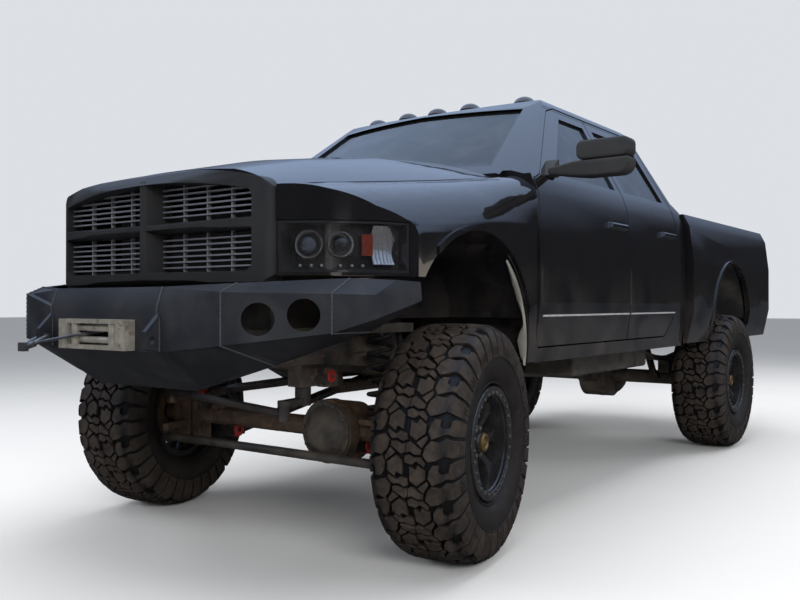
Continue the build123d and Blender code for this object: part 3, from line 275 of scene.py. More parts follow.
def ring_tree():
    """Geometry Nodes tree: copies of the modifier's own mesh set round the X axis."""
    tree = bpy.data.node_groups.new("around_axis", "GeometryNodeTree")
    face = tree.interface
    face.new_socket("Geometry", in_out="INPUT", socket_type="NodeSocketGeometry")
    face.new_socket("Count", in_out="INPUT", socket_type="NodeSocketInt")
    face.new_socket("Start Angle", in_out="INPUT", socket_type="NodeSocketFloat")
    face.new_socket("Material", in_out="INPUT", socket_type="NodeSocketMaterial")
    face.new_socket("Geometry", in_out="OUTPUT", socket_type="NodeSocketGeometry")
    add, link = tree.nodes.new, tree.links.new
    entry = add("NodeGroupInput")
    leave = add("NodeGroupOutput")
    spots = add("GeometryNodePoints")
    index = add("GeometryNodeInputIndex")
    pitch = add("ShaderNodeMath")
    pitch.operation = "DIVIDE"
    pitch.inputs[0].default_value = 2 * math.pi
    turn = add("ShaderNodeMath")
    turn.operation = "MULTIPLY_ADD"
    spin = add("ShaderNodeCombineXYZ")
    to_turn = add("FunctionNodeEulerToRotation")
    copies = add("GeometryNodeInstanceOnPoints")
    real = add("GeometryNodeRealizeInstances")
    paint = add("GeometryNodeSetMaterial")
    link(entry.outputs["Count"], spots.inputs["Count"])
    link(entry.outputs["Count"], pitch.inputs[1])
    link(index.outputs[0], turn.inputs[0])
    link(pitch.outputs[0], turn.inputs[1])
    link(entry.outputs["Start Angle"], turn.inputs[2])
    link(turn.outputs[0], spin.inputs["X"])
    link(spin.outputs[0], to_turn.inputs[0])
    link(spots.outputs[0], copies.inputs["Points"])
    link(entry.outputs["Geometry"], copies.inputs["Instance"])
    link(to_turn.outputs[0], copies.inputs["Rotation"])
    link(copies.outputs[0], real.inputs[0])
    link(real.outputs[0], paint.inputs["Geometry"])
    link(entry.outputs["Material"], paint.inputs["Material"])
    link(paint.outputs[0], leave.inputs[0])
    return tree


AROUND = ring_tree()


def socket_names(tree):
    return {item.name: item.identifier for item in tree.interface.items_tree if item.in_out == "INPUT"}


def ring_of(mesh, count, material, start=0.0):
    """Plain mesh of count copies of mesh round the X axis, the first one turned by start."""
    seed = bpy.data.objects.new("seed", mesh)
    bpy.context.scene.collection.objects.link(seed)
    maker = seed.modifiers.new("around", "NODES")
    maker.node_group = AROUND
    name = socket_names(AROUND)
    maker[name["Count"]] = count
    maker[name["Start Angle"]] = start
    maker[name["Material"]] = material
    graph = bpy.context.evaluated_depsgraph_get()
    made = bpy.data.meshes.new_from_object(seed.evaluated_get(graph))
    bpy.data.objects.remove(seed)
    return made


def turned_mesh(outline, steps, closed=False):
    """Mesh turned round the X axis from (x, radius) points; closed joins the last to the first."""
    work = bmesh.new()
    rings = []
    for k in range(steps):
        angle = 2 * math.pi * k / steps
        rings.append([work.verts.new((x, r * math.sin(angle), r * math.cos(angle))) for x, r in outline])
    last = len(outline) if closed else len(outline) - 1
    for k in range(steps):
        here, after = rings[k], rings[(k + 1) % steps]
        for i in range(last):
            j = (i + 1) % len(outline)
            work.faces.new((here[i], here[j], after[j], after[i]))
    bmesh.ops.remove_doubles(work, verts=work.verts, dist=0.00001)
    bmesh.ops.recalc_face_normals(work, faces=work.faces)
    mesh = bpy.data.meshes.new("turned")
    work.to_mesh(mesh)
    work.free()
    return mesh


def joined(meshes):
    """One mesh of several, keeping each one's materials."""
    total = bpy.data.meshes.new("joined")
    work = bmesh.new()
    slots = []
    for mesh in meshes:
        first = len(work.faces)
        work.from_mesh(mesh)
        work.faces.ensure_lookup_table()
        own = list(mesh.materials)
        for face in work.faces[first:]:
            material = own[face.material_index] if own else None
            if material not in slots:
                slots.append(material)
            face.material_index = slots.index(material)
    work.to_mesh(total)
    work.free()
    for material in slots:
        total.materials.append(material)
    return total


def with_material(mesh, material):
    mesh.materials.clear()
    mesh.materials.append(material)
    return mesh


def bolt_mesh(radius, height, washer=0.0):
    """Hex bolt head standing on x = 0 and pointing to +X."""
    outline = [(0.0, radius * 1.35), (washer, radius * 1.35), (washer, radius),
               (washer + height * 0.85, radius), (washer + height, radius * 0.8), (washer + height, 0.0)]
    return turned_mesh(outline, 6)


# How far the front axle is ahead of the truck's middle, and the rear axle behind the front one
MIDDLE = 1.815
WHEELBASE = 3.569


def spot(x, s, z):
    """Point given by x, its distance behind the front axle and its height, in metres."""
    return Vector((x, s - MIDDLE, z))


AXLE_Z = 0.484
DIFF_X = 0.30
COVER_BOLTS = 10
# Circle of the bolts, as a share of the cover's radius, and the turn of the first bolt
COVER_CIRCLE = 0.93
COVER_START = 0.2
cover_paint = dusty_metal("cover_black", (0.02, 0.02, 0.021), road_dust, 0.35, 0.9, rough=0.42, amount=0.5)
bolt_zinc = dusty_metal("bolt_zinc", (0.32, 0.30, 0.26), road_dust, 0.3, 0.9, rough=0.38,
                        metal=0.85, amount=0.4, rust=0.2)


def cover_piece(name, x, s, radius, forward):
    """Domed differential cover with its ring of bolts."""
    dome = turned_mesh([(0.0, radius), (0.010, radius), (0.012, radius * 0.86), (0.030, radius * 0.74),
                        (0.048, radius * 0.45), (0.052, 0.0)], 40)
    smooth_by_angle(dome, 40)
    bolt = bolt_mesh(0.008, 0.008)
    bolt.transform(Matrix.Translation((0.010, 0, radius * COVER_CIRCLE)))
    bolts = ring_of(bolt, COVER_BOLTS, bolt_zinc, start=COVER_START)
    mesh = joined([with_material(dome, cover_paint), bolts])
    facing = Matrix.Rotation(math.radians(-90 if forward else 90), 4, "Z")
    mesh.transform(Matrix.Translation(spot(x, s, AXLE_Z)) @ facing)
    return new_piece(name, mesh, None, "truck")


cover_piece("cover_front", DIFF_X, -0.106, 0.135, True)
cover_piece("cover_rear", 0.0, WHEELBASE + 0.136, 0.165, False)

# Links, springs and shocks of the suspension
# Long round arms, a track bar, black coils with a shock beside each, and leaf packs at the back.
# The arms and the track bar are steel tube, bolted through red urethane bushings at their ends.

spring_black = dusty_metal("spring_black", (0.008, 0.008, 0.009), road_dust, 0.3, 0.9, rough=0.2, amount=0.3)
leaf_steel = dusty_metal("leaf_steel", (0.05, 0.048, 0.046), road_dust, 0.5, 1.0, rough=0.5,
                         metal=0.4, amount=0.6, rust=0.5)
soften("coil_springs", "springs_front", spring_black, 0.0, 50)
soften("shocks", "shock_set", spring_black, 0.002, 40)
soften("front_links", "links_front", spring_black, 0.003, 40)
soften("leaf_springs", "springs_rear", leaf_steel, 0.0015, 40)

red_finish = Finish("bushing_red", Specular_IOR_Level=0.4)
red_wear = red_finish.noise(50.0, 5.0)
bushing_red = red_finish.wear(
    Base_Color=red_finish.mix(red_finish.step(red_wear, 0.45, 0.7), (0.36, 0.012, 0.010),
                              (0.16, 0.05, 0.035)),
    Roughness=0.5 + red_wear * 0.2,
)
# Bushings of the long arms and the track bar, columns: x, distance behind the front axle, height,
# radius, half length
BUSHINGS = [
    (0.420, 0.020, 0.418, 0.036, 0.030),
    (-0.420, 0.020, 0.418, 0.036, 0.030),
    (0.400, 1.180, 0.636, 0.034, 0.030),
    (-0.400, 1.180, 0.636, 0.034, 0.030),
    (-0.520, -0.095, 0.590, 0.030, 0.028),
    (0.345, -0.150, 0.735, 0.030, 0.028),
]
BOLT_HOLE = 0.012
# Where a bushing's rounded ends begin, as a share of its radius and half length
SHOULDER = 0.8
bushing_set = []
for x, s, z, radius, half in BUSHINGS:
    ring = turned_mesh([(-half, BOLT_HOLE), (-half, radius * SHOULDER), (-half * SHOULDER, radius),
                        (half * SHOULDER, radius), (half, radius * SHOULDER), (half, BOLT_HOLE)], 24)
    smooth_by_angle(ring, 35)
    ring.transform(Matrix.Translation(spot(x, s, z)))
    bushing_set.append(with_material(ring, bushing_red))
new_piece("bushings", joined(bushing_set), None, "truck")

# Engine, gearbox and exhaust
# Cast iron and aluminium blocks, bolted to mounts on the rails and seen only through gaps. A rusty
# steel pipe runs back to the right side, and a moulded tank hangs beside the left rail.

engine_iron = dusty_metal("engine_iron", (0.06, 0.058, 0.055), road_dust, 0.5, 1.5, rough=0.6,
                          metal=0.3, amount=0.6, rust=0.4)
pipe_steel = dusty_metal("pipe_steel", (0.20, 0.18, 0.16), road_dust, 0.4, 1.0, rough=0.5,
                         metal=0.7, amount=0.5, rust=0.7)
tank_shell = dusty_metal("tank_plastic", (0.025, 0.025, 0.025), road_dust, 0.5, 1.0, rough=0.6, amount=0.5)
soften("powertrain", "engine_and_gearbox", engine_iron, 0.012, 40)
soften("exhaust", "exhaust_pipe", pipe_steel, 0.002, 40)
soften("fuel_tank", "tank", tank_shell, 0.02, 40, 3)
soften("radiator", "radiator_core", tank_shell, 0.004, 40)

# Steering
# Cast knuckles of bare, rusty iron that turn on the axle's forks, joined by black steel bars: the
# tie rod from knuckle to knuckle, and the drag link from the pitman arm.

knuckle_iron = dusty_metal("knuckle_iron", (0.11, 0.075, 0.05), road_dust, 0.3, 0.9, rough=0.6,
                           metal=0.35, amount=0.5, rust=1.0, grain=0.001)
bar_black = dusty_metal("bar_black", (0.02, 0.02, 0.021), road_dust, 0.3, 0.9, rough=0.35, amount=0.35)
for side in ("left", "right"):
    soften("knuckle_" + side, "knuckle_%s_cast" % side, knuckle_iron, 0.005, 40)
for node in ("tie_rod", "drag_link", "pitman_arm"):
    soften(node, node + "_bar", bar_black, 0.002, 40)

# Wheels
# Black 17 inch beadlock wheels: a deep barrel, eight spokes round a hub with a brass-coloured cap,
# and a bolted outer ring that clamps the tyre.

rim_paint = Finish("wheel_black", Coat_Weight=0.7, Coat_Roughness=0.08)
rim_cloud = rim_paint.noise(14.0, 6.0, 0.6)
rim_speck = rim_paint.noise(220.0, 2.0)
rim_mask = rim_paint.step(rim_cloud * 0.6 + rim_speck * 0.4, 0.47, 0.66) * 0.09
rim_black = rim_paint.wear(
    Base_Color=rim_paint.mix(rim_mask, (0.010, 0.010, 0.011), (0.16, 0.13, 0.10)),
    Roughness=0.22 + rim_mask * 0.6,
    Normal=rim_paint.bump(rim_speck, 0.0002),
)
# Spokes in a lighter black than the barrel's paint: a painted highlight that makes them stand out
spoke_paint = Finish("spoke_satin", Coat_Weight=0.5, Coat_Roughness=0.12)
spoke_cloud = spoke_paint.noise(20.0, 5.0, 0.6)
spoke_satin = spoke_paint.wear(
    Base_Color=spoke_paint.mix(spoke_paint.step(spoke_cloud, 0.45, 0.75), (0.020, 0.020, 0.022),
                               (0.060, 0.050, 0.042)),
    Roughness=0.26 + spoke_cloud * 0.15,
    Metallic=0.4 + spoke_cloud * 0.2,
)
hub_brass = dusty_metal("hub_brass", (0.45, 0.30, 0.12), road_dust, 0.2, 0.9, rough=0.35,
                        metal=0.9, amount=0.35, rust=0.15)
rotor_rust = dusty_metal("rotor_rust", (0.20, 0.10, 0.055), road_dust, 0.2, 0.9, rough=0.6,
                         metal=0.5, amount=0.4, rust=0.9)
SPOKES = 8
HUB_NUTS = 8
RING_BOLTS = 28
# Radius of the circle on which the hub's nuts and the ring's bolts stand
NUT_CIRCLE = 0.056
BOLT_CIRCLE = 0.2052
# Degrees that the front wheels are turned to the left at rest
STEER_AT_REST = 10
# A spoke from hub to barrel, columns: radius, half width, front face, back face
SPOKE_ROWS = [
    (0.052, 0.036, 0.082, 0.034),
    (0.100, 0.021, 0.090, 0.040),
    (0.150, 0.024, 0.098, 0.052),
    (0.184, 0.046, 0.102, 0.060),
]
# Width of a spoke's front face as a share of its back, and the rounding of its edges
SPOKE_FRONT = 0.7
SPOKE_ROUND = 0.003


def spoke_mesh():
    """One deep spoke, set inside the barrel and pointing to +Z."""
    work = bmesh.new()
    rings = []
    for z, half, front, back in SPOKE_ROWS:
        slim = half * SPOKE_FRONT
        rings.append([work.verts.new((front, -slim, z)), work.verts.new((front, slim, z)),
                      work.verts.new((back, half, z)), work.verts.new((back, -half, z))])
    for a, b in zip(rings, rings[1:]):
        for k in range(4):
            work.faces.new((a[k], a[(k + 1) % 4], b[(k + 1) % 4], b[k]))
    work.faces.new(rings[0])
    work.faces.new(rings[-1])
    bmesh.ops.recalc_face_normals(work, faces=work.faces)
    bmesh.ops.bevel(work, geom=list(work.edges), offset=SPOKE_ROUND, segments=2, profile=0.6, affect="EDGES")
    mesh = bpy.data.meshes.new("spoke")
    work.to_mesh(mesh)
    work.free()
    smooth_by_angle(mesh, 40)
    return mesh


def wheel_place(corner):
    """Where a wheel made round the origin with its face to +X stands on the truck."""
    low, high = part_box("tyre_" + corner)
    middle = (low + high) / 2
    side = 1 if corner.endswith("l") else -1
    steered = STEER_AT_REST if corner.startswith("f") else 0
    turn = Matrix.Rotation(math.radians(steered), 4, "Z")
    mirror = Matrix() if side > 0 else Matrix.Rotation(math.pi, 4, "Z")
    return Matrix.Translation((middle.x, middle.y, AXLE_Z)) @ turn @ mirror


def wheel_meshes():
    """The pieces of one wheel and its brake rotor, round the X axis with the outer face to +X."""
    barrel = turned_mesh([(-0.124, 0.205), (-0.124, 0.234), (-0.1185, 0.234), (-0.1185, 0.2216),
                          (-0.100, 0.2216), (-0.060, 0.200), (0.060, 0.200), (0.104, 0.2216),
                          (0.1185, 0.2216), (0.1185, 0.232), (0.140, 0.233), (0.146, 0.228),
                          (0.146, 0.196), (0.140, 0.190), (0.110, 0.186), (0.060, 0.180),
                          (0.0, 0.186), (-0.060, 0.188)], 72, True)
    smooth_by_angle(barrel, 28)
    ring = turned_mesh([(0.1465, 0.1935), (0.1465, 0.2325), (0.156, 0.2325), (0.160, 0.230), (0.1605, 0.214),
                        (0.158, 0.211), (0.158, 0.199), (0.155, 0.1945)], 72, True)
    smooth_by_angle(ring, 28)
    spokes = ring_of(spoke_mesh(), SPOKES, spoke_satin)
    smooth_by_angle(spokes, 40)
    hub = turned_mesh([(-0.004, 0.0), (-0.004, 0.074), (0.074, 0.074), (0.082, 0.067), (0.082, 0.044),
                       (0.106, 0.043), (0.112, 0.039), (0.112, 0.0)], 40)
    smooth_by_angle(hub, 35)
    cap = turned_mesh([(0.1122, 0.038), (0.124, 0.038), (0.129, 0.034), (0.130, 0.026), (0.124, 0.023),
                       (0.124, 0.008), (0.128, 0.006), (0.128, 0.0)], 36)
    smooth_by_angle(cap, 35)
    nut = bolt_mesh(0.011, 0.016, 0.002)
    nut.transform(Matrix.Translation((0.082, 0, NUT_CIRCLE)))
    nuts = ring_of(nut, HUB_NUTS, bolt_zinc, start=math.pi / HUB_NUTS)
    clamp = bolt_mesh(0.0058, 0.005, 0.001)
    clamp.transform(Matrix.Translation((0.158, 0, BOLT_CIRCLE)))
    clamps = ring_of(clamp, RING_BOLTS, bolt_zinc)
    rotor = turned_mesh([(-0.035, 0.060), (-0.035, 0.165), (-0.023, 0.165), (-0.023, 0.148), (-0.017, 0.148),
                         (-0.017, 0.165), (-0.005, 0.165), (-0.005, 0.060)], 48, True)
    smooth_by_angle(rotor, 35)
    return [with_material(barrel, rim_black), with_material(ring, rim_black), spokes,
            with_material(hub, rim_black), with_material(cap, hub_brass), nuts, clamps,
            with_material(rotor, rotor_rust)]


CORNERS = ("fl", "fr", "rl", "rr")
wheel_kit = joined(wheel_meshes())
for corner in CORNERS:
    wheel = wheel_kit.copy()
    wheel.transform(wheel_place(corner))
    new_piece("wheel_%s_metal" % corner, wheel, None, "wheel_" + corner, ("rim_" + corner,))

# Tyres
# Large mud tyres with chunky staggered blocks, cut by narrow zigzag grooves, that run down onto the
# sidewalls. Dried mud lies brown on the blocks; the grooves are kept dark as painted shade, and the
# wall by the wheel gets less mud.

rubber_finish = Finish("tyre_rubber", Specular_IOR_Level=0.4)
rubber_speck = rubber_finish.noise(230.0, 3.0, 0.7)
rubber_cloud = rubber_finish.noise(9.0, 6.0, 0.6, 0.6)
rubber_worn = rubber_finish.noise(38.0, 5.0, 0.65)
# The deeper a point, the less mud it gets, so this depth paints shade into the grooves
depth = rubber_finish.node("ShaderNodeAttribute", {"attribute_name": "depth"}, out="Fac")
dust_here = rubber_finish.step(rubber_cloud * 0.5 + rubber_worn * 0.3 + rubber_speck * 0.2, 0.36, 0.60)
mud_and_groove_shade = (1.0 - depth) * (0.35 + dust_here * 0.65)
mud_colour = rubber_finish.mix(rubber_worn, (0.014, 0.012, 0.011), (0.066, 0.048, 0.035))
rubber = rubber_finish.wear(
    Base_Color=rubber_finish.mix(mud_and_groove_shade, (0.0045, 0.0045, 0.0050), mud_colour),
    Roughness=0.40 + mud_and_groove_shade * 0.30 + rubber_speck * 0.1,
    Normal=rubber_finish.bump(rubber_speck * 0.35 + rubber_worn * 0.65, 0.0022),
)
TYRE_R = 0.484
# Half section of the tyre without its blocks: distance from the middle, radius
TREAD_LINE = [(0.0, 0.4655), (0.060, 0.4650), (0.120, 0.4610), (0.149, 0.4490), (0.1645, 0.4280),
              (0.1735, 0.3980), (0.1785, 0.3520)]
WALL_LINE = [(0.1800, 0.3300), (0.1770, 0.3050), (0.1680, 0.2760), (0.1520, 0.2500),
             (0.1400, 0.2395), (0.1182, 0.2365), (0.1182, 0.2225)]
# How high the blocks stand, by the distance along the skin from the middle
BLOCK_RISE = [(0.0, 0.0185), (0.120, 0.0183), (0.150, 0.0150), (0.185, 0.0095), (0.215, 0.0062),
              (0.262, 0.0030)]


def between(table, value):
    """Value of a two-column table at a place between its rows."""
    for (a, low), (b, high) in zip(table, table[1:]):
        if value <= b:
            return low + (high - low) * (value - a) / (b - a)
    return table[-1][1]


def skin_point(u, v, rise):
    """Point of the tyre: u along its skin from the middle, v round it, both in metres."""
    left = abs(u)
    side = 1 if u >= 0 else -1
    for (x0, r0), (x1, r1) in zip(TREAD_LINE, TREAD_LINE[1:]):
        span = math.hypot(x1 - x0, r1 - r0)
        if left <= span or (x1, r1) == TREAD_LINE[-1]:
            break
        left -= span
    share = left / span
    lean = Vector((r0 - r1, x1 - x0)) / span
    x = side * (x0 + (x1 - x0) * share + lean.x * rise)
    r = r0 + (r1 - r0) * share + lean.y * rise
    angle = v / TYRE_R
    return x, r * math.sin(angle), r * math.cos(angle)


PITCHES = 18
PITCH = 2 * math.pi * TYRE_R / PITCHES
# Corners of the blocks of one pitch on the +X half: millimetres across, hundredths of a pitch along
HALF_BLOCKS = [
    [(13, 3), (40, -8), (74, 8), (76, 27), (48, 39), (39, 29), (15, 35)],
    [(-4, 43), (24, 39), (42, 47), (71, 35), (78, 43), (57, 57), (35, 55), (12, 62), (-5, 57)],
    [(0, 64), (14, 67), (36, 61), (59, 62), (61, 72), (34, 83), (16, 90), (2, 84)],
    [(42, 87), (62, 76), (72, 84), (85, 96), (80, 104), (62, 97)],
    [(84, 11), (99, -5), (128, 3), (148, 9), (172, 5), (256, 8), (256, 48), (178, 47), (158, 42),
     (152, 25), (135, 21), (122, 27), (126, 42), (105, 41), (91, 30)],
    [(66, 60), (86, 46), (118, 51), (140, 60), (168, 56), (256, 56), (256, 98), (174, 97), (146, 101),
     (124, 91), (98, 94), (76, 80)],
]
# Widest strip of a block, so that it bends round the shoulder, and the thinnest rest of one
STRIP = 0.022
STRIP_REST = 0.004
# A block's top is pulled in from its foot, its edge is rounded and its foot is sunk into the skin
TOP_PULL = 0.0024
EDGE_PULL, EDGE_DROP = 0.0008, 0.0012
FOOT_SUNK = 0.004


def tread_block(outline):
    """A block on the tyre's skin from its (across, along) outline, cut in strips so that it bends."""
    flat = bmesh.new()
    flat.faces.new([flat.verts.new((a, b, 0)) for a, b in outline])
    start = min(a for a, b in outline)
    end = max(a for a, b in outline)
    for k in range(math.ceil(start / STRIP), math.ceil(end / STRIP)):
        if start + STRIP_REST < k * STRIP < end - STRIP_REST:
            geom = list(flat.verts) + list(flat.edges) + list(flat.faces)
            bmesh.ops.bisect_plane(flat, geom=geom, plane_co=(k * STRIP, 0, 0), plane_no=(1, 0, 0))
    flat.normal_update()
    flat.verts.index_update()
    flat.faces.ensure_lookup_table()
    turn = 1 if flat.faces[0].normal.z > 0 else -1
    inward = {}
    for edge in flat.edges:
        if len(edge.link_faces) == 1:
            loop = edge.link_loops[0]
            run = (loop.link_loop_next.vert.co - loop.vert.co).normalized()
            for vert in edge.verts:
                inward[vert.index] = inward.get(vert.index, Vector()) + Vector((-run.y, run.x, 0)) * turn
    work = bmesh.new()
    levels = {}
    for vert in flat.verts:
        u, v = vert.co.xy
        top = between(BLOCK_RISE, abs(u))
        if vert.index not in inward:
            levels[vert.index] = [work.verts.new(skin_point(u, v, top))]
            continue
        way = inward[vert.index].normalized()
        edge_top = top - min(EDGE_DROP, top * 0.3)
        rows = []
        for pull, rise in ((TOP_PULL, top), (EDGE_PULL, edge_top), (0.0, -FOOT_SUNK)):
            rows.append(work.verts.new(skin_point(u + way.x * pull, v + way.y * pull, rise)))
        levels[vert.index] = rows
    for face in flat.faces:
        work.faces.new([levels[vert.index][0] for vert in face.verts])
    for edge in flat.edges:
        if len(edge.link_faces) == 1:
            a, b = (levels[vert.index] for vert in edge.verts)
            for k in (0, 1):
                work.faces.new((a[k], b[k], b[k + 1], a[k + 1]))
    bmesh.ops.recalc_face_normals(work, faces=work.faces)
    mesh = bpy.data.meshes.new("block")
    work.to_mesh(mesh)
    work.free()
    flat.free()
    return mesh


def other_half(outline):
    """The outline on the tyre's other half, turned round and half a pitch on."""
    return [(-a, 0.5 * PITCH - b) for a, b in outline]


# Ribs at the foot of a lug: how many, and in shares of a pitch the first one's place, step and width
RIBS = 3
RIB_FIRST, RIB_STEP, RIB_WIDTH = 0.60, 0.12, 0.06
# How far along the skin from the middle the ribs begin and end, and how high they stand on a lug
RIB_IN, RIB_OUT = 0.212, 0.246
RIB_RISE = 0.0028


def wall_rib(outline):
    """Low flat rib on a lug's foot."""
    work = bmesh.new()
    top = [work.verts.new(skin_point(a, b, between(BLOCK_RISE, abs(a)) + RIB_RISE)) for a, b in outline]
    foot = [work.verts.new(skin_point(a, b, 0.0)) for a, b in outline]
    work.faces.new(top)
    for k in range(4):
        m = (k + 1) % 4
        work.faces.new((top[k], top[m], foot[m], foot[k]))
    bmesh.ops.recalc_face_normals(work, faces=work.faces)
    mesh = bpy.data.meshes.new("rib")
    work.to_mesh(mesh)
    work.free()
    return mesh


def pitch_mesh():
    """All the blocks and ribs of one pitch, both halves."""
    outlines = [[(a * 0.001, b * 0.01 * PITCH) for a, b in outline] for outline in HALF_BLOCKS]
    meshes = []
    for outline in outlines:
        meshes += [tread_block(outline), tread_block(other_half(outline))]
    for k in range(RIBS):
        low = (RIB_FIRST + k * RIB_STEP) * PITCH
        high = (RIB_FIRST + k * RIB_STEP + RIB_WIDTH) * PITCH
        rib = [(RIB_IN, low), (RIB_OUT, low), (RIB_OUT, high), (RIB_IN, high)]
        meshes += [wall_rib(rib), wall_rib(other_half(rib))]
    return joined(meshes)


# Radius of the wall's upper end, of the bare skin at the middle, and where the blocks' sides begin
# and end under the crown
WALL_TOP = TREAD_LINE[-1][1]
SKIN_CROWN = TREAD_LINE[0][1]
SIDE_LOW, SIDE_HIGH = 0.468, 0.481
# Depth that the wall and a lug's foot are given, where a groove has 1
WALL_DEPTH, LUG_DEPTH = 0.72, 0.25


def mark_groove_shade_depth(mesh):
    """Stores how deep each point lies: 0 on the blocks, 1 in the grooves, between on the wall; deep points
    get less mud, which paints shade into the grooves.
    """
    layer = mesh.attributes.new("depth", "FLOAT", "POINT")
    rise_line = [(r, x) for x, r in reversed(TREAD_LINE)]
    for i, vert in enumerate(mesh.vertices):
        radius = math.hypot(vert.co.y, vert.co.z)
        if radius < WALL_TOP:
            layer.data[i].value = WALL_DEPTH
        elif radius > SIDE_LOW:
            layer.data[i].value = max(0.0, (SIDE_HIGH - radius) / (SIDE_HIGH - SIDE_LOW))
        else:
            skin = between(rise_line, radius) if radius < SKIN_CROWN else 0.0
            layer.data[i].value = LUG_DEPTH if abs(vert.co.x) > skin + 0.002 else 1.0


half_line = TREAD_LINE + WALL_LINE
CARCASS_STEPS = 114
carcass = turned_mesh([(-x, r) for x, r in reversed(half_line)] + half_line[1:], CARCASS_STEPS)
smooth_by_angle(carcass, 40)
blocks = ring_of(pitch_mesh(), PITCHES, rubber)
# Thin raised lines round each wall: one at the feet of the blocks and one by the rim
WALL_RINGS = [
    [(0.1780, 0.3500), (0.1816, 0.3480), (0.1816, 0.3455), (0.1785, 0.3430)],
    [(0.1500, 0.2520), (0.1560, 0.2500), (0.1575, 0.2450), (0.1500, 0.2400)],
]
wall_rings = []
for outline in WALL_RINGS:
    wall_rings.append(turned_mesh(outline, CARCASS_STEPS))
    wall_rings.append(turned_mesh([(-x, r) for x, r in outline], CARCASS_STEPS))
smooth_by_angle(blocks, 28)
tyre_kit = joined([with_material(m, rubber) for m in [carcass, blocks] + wall_rings])
mark_groove_shade_depth(tyre_kit)
for corner in CORNERS:
    tyre = tyre_kit.copy()
    tyre.transform(wheel_place(corner))
    new_piece("tyre_%s_rubber" % corner, tyre, None, "wheel_" + corner, ("tyre_" + corner,))

# Cab shell
# Welded steel in deep black, clear-coated and polished, with the windscreen and back window set in
# it. Dust lies thin on the flanks and thicker by the rockers.

paint = Finish("body_black", Coat_Roughness=0.015, Specular_IOR_Level=0.5)
paint_speck = paint.noise(420.0, 2.0)
paint_cloud = paint.noise(5.0, 6.0, 0.6, 0.3)
low_dust = paint.step(paint.height, 0.78, 1.25, 1.0, 0.06)
dust_mask = paint.step(paint_cloud * 0.7 + paint_speck * 0.3, 0.40, 0.72) * low_dust * 0.30
peel = paint.noise(95.0, 2.0, 0.5)
streak = paint.noise(3.0, 5.0, 0.6, stretch=(1.0, 1.0, 0.25))
body_black = paint.wear(
    Base_Color=paint.mix(dust_mask, (0.0045, 0.0045, 0.0055), (0.16, 0.135, 0.11)),
    Roughness=0.10 + dust_mask * 0.6 + paint.step(streak, 0.5, 0.75) * 0.05,
    Coat_Weight=1.0 - dust_mask * 0.9,
    Normal=paint.bump(peel, 0.00008),
)
soften("cab", "cab_shell", body_black, 0.003, 30)

# Windows
# Tinted safety glass, very dark at the sides and a little lighter in the windscreen, which is glued
# in behind a black printed border along its edge.


def glass_finish(name, tint, cover):
    """Tinted glass with a faint film; cover is how much of the light its tint stops."""
    finish = Finish(name, Roughness=0.02, IOR=1.5, Coat_Weight=0.6, Coat_Roughness=0.01)
    smear = finish.noise(6.0, 5.0, 0.6, 0.5)
    film = finish.step(smear, 0.45, 0.75) * 0.12
    return finish.wear(
        Base_Color=finish.mix(film, tint, (0.10, 0.10, 0.10)),
        Roughness=0.015 + film * 0.25,
        Alpha=cover + film,
    )


side_glass = glass_finish("side_glass", (0.006, 0.008, 0.009), 0.86)
# Heights of the windscreen's lower and upper edge, and half its width there
SCREEN_LOW, SCREEN_HIGH = 1.712, 2.100
SCREEN_HALF_LOW, SCREEN_HALF_HIGH = 0.725, 0.612


def frit_finish():
    """Windscreen glass whose edge is printed black, fading out in dots."""
    finish = Finish("windscreen_printed", Roughness=0.02, IOR=1.5, Coat_Weight=0.6, Coat_Roughness=0.01)
    slope = (SCREEN_HALF_LOW - SCREEN_HALF_HIGH) / (SCREEN_HIGH - SCREEN_LOW)
    side = (SCREEN_HALF_LOW + SCREEN_LOW * slope) - finish.height * slope - finish.across.size()
    edge = side.lowest(finish.height - SCREEN_LOW).lowest(SCREEN_HIGH - finish.height)
    dots = finish.cells(130.0) * 0.016
    border = finish.step(edge + dots, 0.030, 0.034, 1.0, 0.0)
    film = finish.step(finish.noise(6.0, 5.0, 0.6, 0.5), 0.45, 0.75) * 0.10
    tinted = finish.mix(film, (0.010, 0.013, 0.014), (0.10, 0.10, 0.10))
    return finish.wear(
        Base_Color=finish.mix(border, tinted, (0.004, 0.004, 0.004)),
        Roughness=0.015 + film * 0.25 + border * 0.1,
        Alpha=(0.72 + film).highest(border),
    )


soften("cab_glass", "screens", frit_finish(), 0.0, 30)
for side in ("left", "right"):
    for end in ("front", "rear"):
        soften("glass_%s_%s" % (end, side), "window_%s_%s" % (end, side), side_glass, 0.0, 30)

# Dashboard and seats
# Moulded grey-black plastic with a steering wheel on its column, and cloth seats with a bench
# behind them.

dash_finish = Finish("dash_plastic", Specular_IOR_Level=0.3)
dash_grain = dash_finish.cells(700.0)
dash_plastic = dash_finish.wear(
    Base_Color=dash_finish.mix(dash_finish.noise(12.0), (0.030, 0.030, 0.032), (0.05, 0.048, 0.046)),
    Roughness=0.55 + dash_finish.noise(40.0) * 0.2,
    Normal=dash_finish.bump(dash_grain, 0.0003),
)
soften("dashboard", "dash", dash_plastic, 0.006, 40)
cloth_finish = Finish("seat_cloth", Sheen_Weight=0.3, Roughness=0.9)
weave_x = cloth_finish.node("ShaderNodeTexWave", {"wave_type": "BANDS", "bands_direction": "X"},
                            {"Vector": cloth_finish.place, "Scale": 260.0}, out="Fac")
weave_z = cloth_finish.node("ShaderNodeTexWave", {"wave_type": "BANDS", "bands_direction": "Z"},
                            {"Vector": cloth_finish.place, "Scale": 260.0}, out="Fac")
seat_cloth = cloth_finish.wear(
    Base_Color=cloth_finish.mix(weave_x * weave_z, (0.05, 0.05, 0.053), (0.10, 0.10, 0.105)),
    Normal=cloth_finish.bump(weave_x + weave_z, 0.0006),
)
soften("seats", "seat_set", seat_cloth, 0.03, 40, 4)

# Doors
# Four doors on hinges, with pressed steel skins and pull handles in the same paint. A thin polished
# strip is stuck along the crease low on each skin.


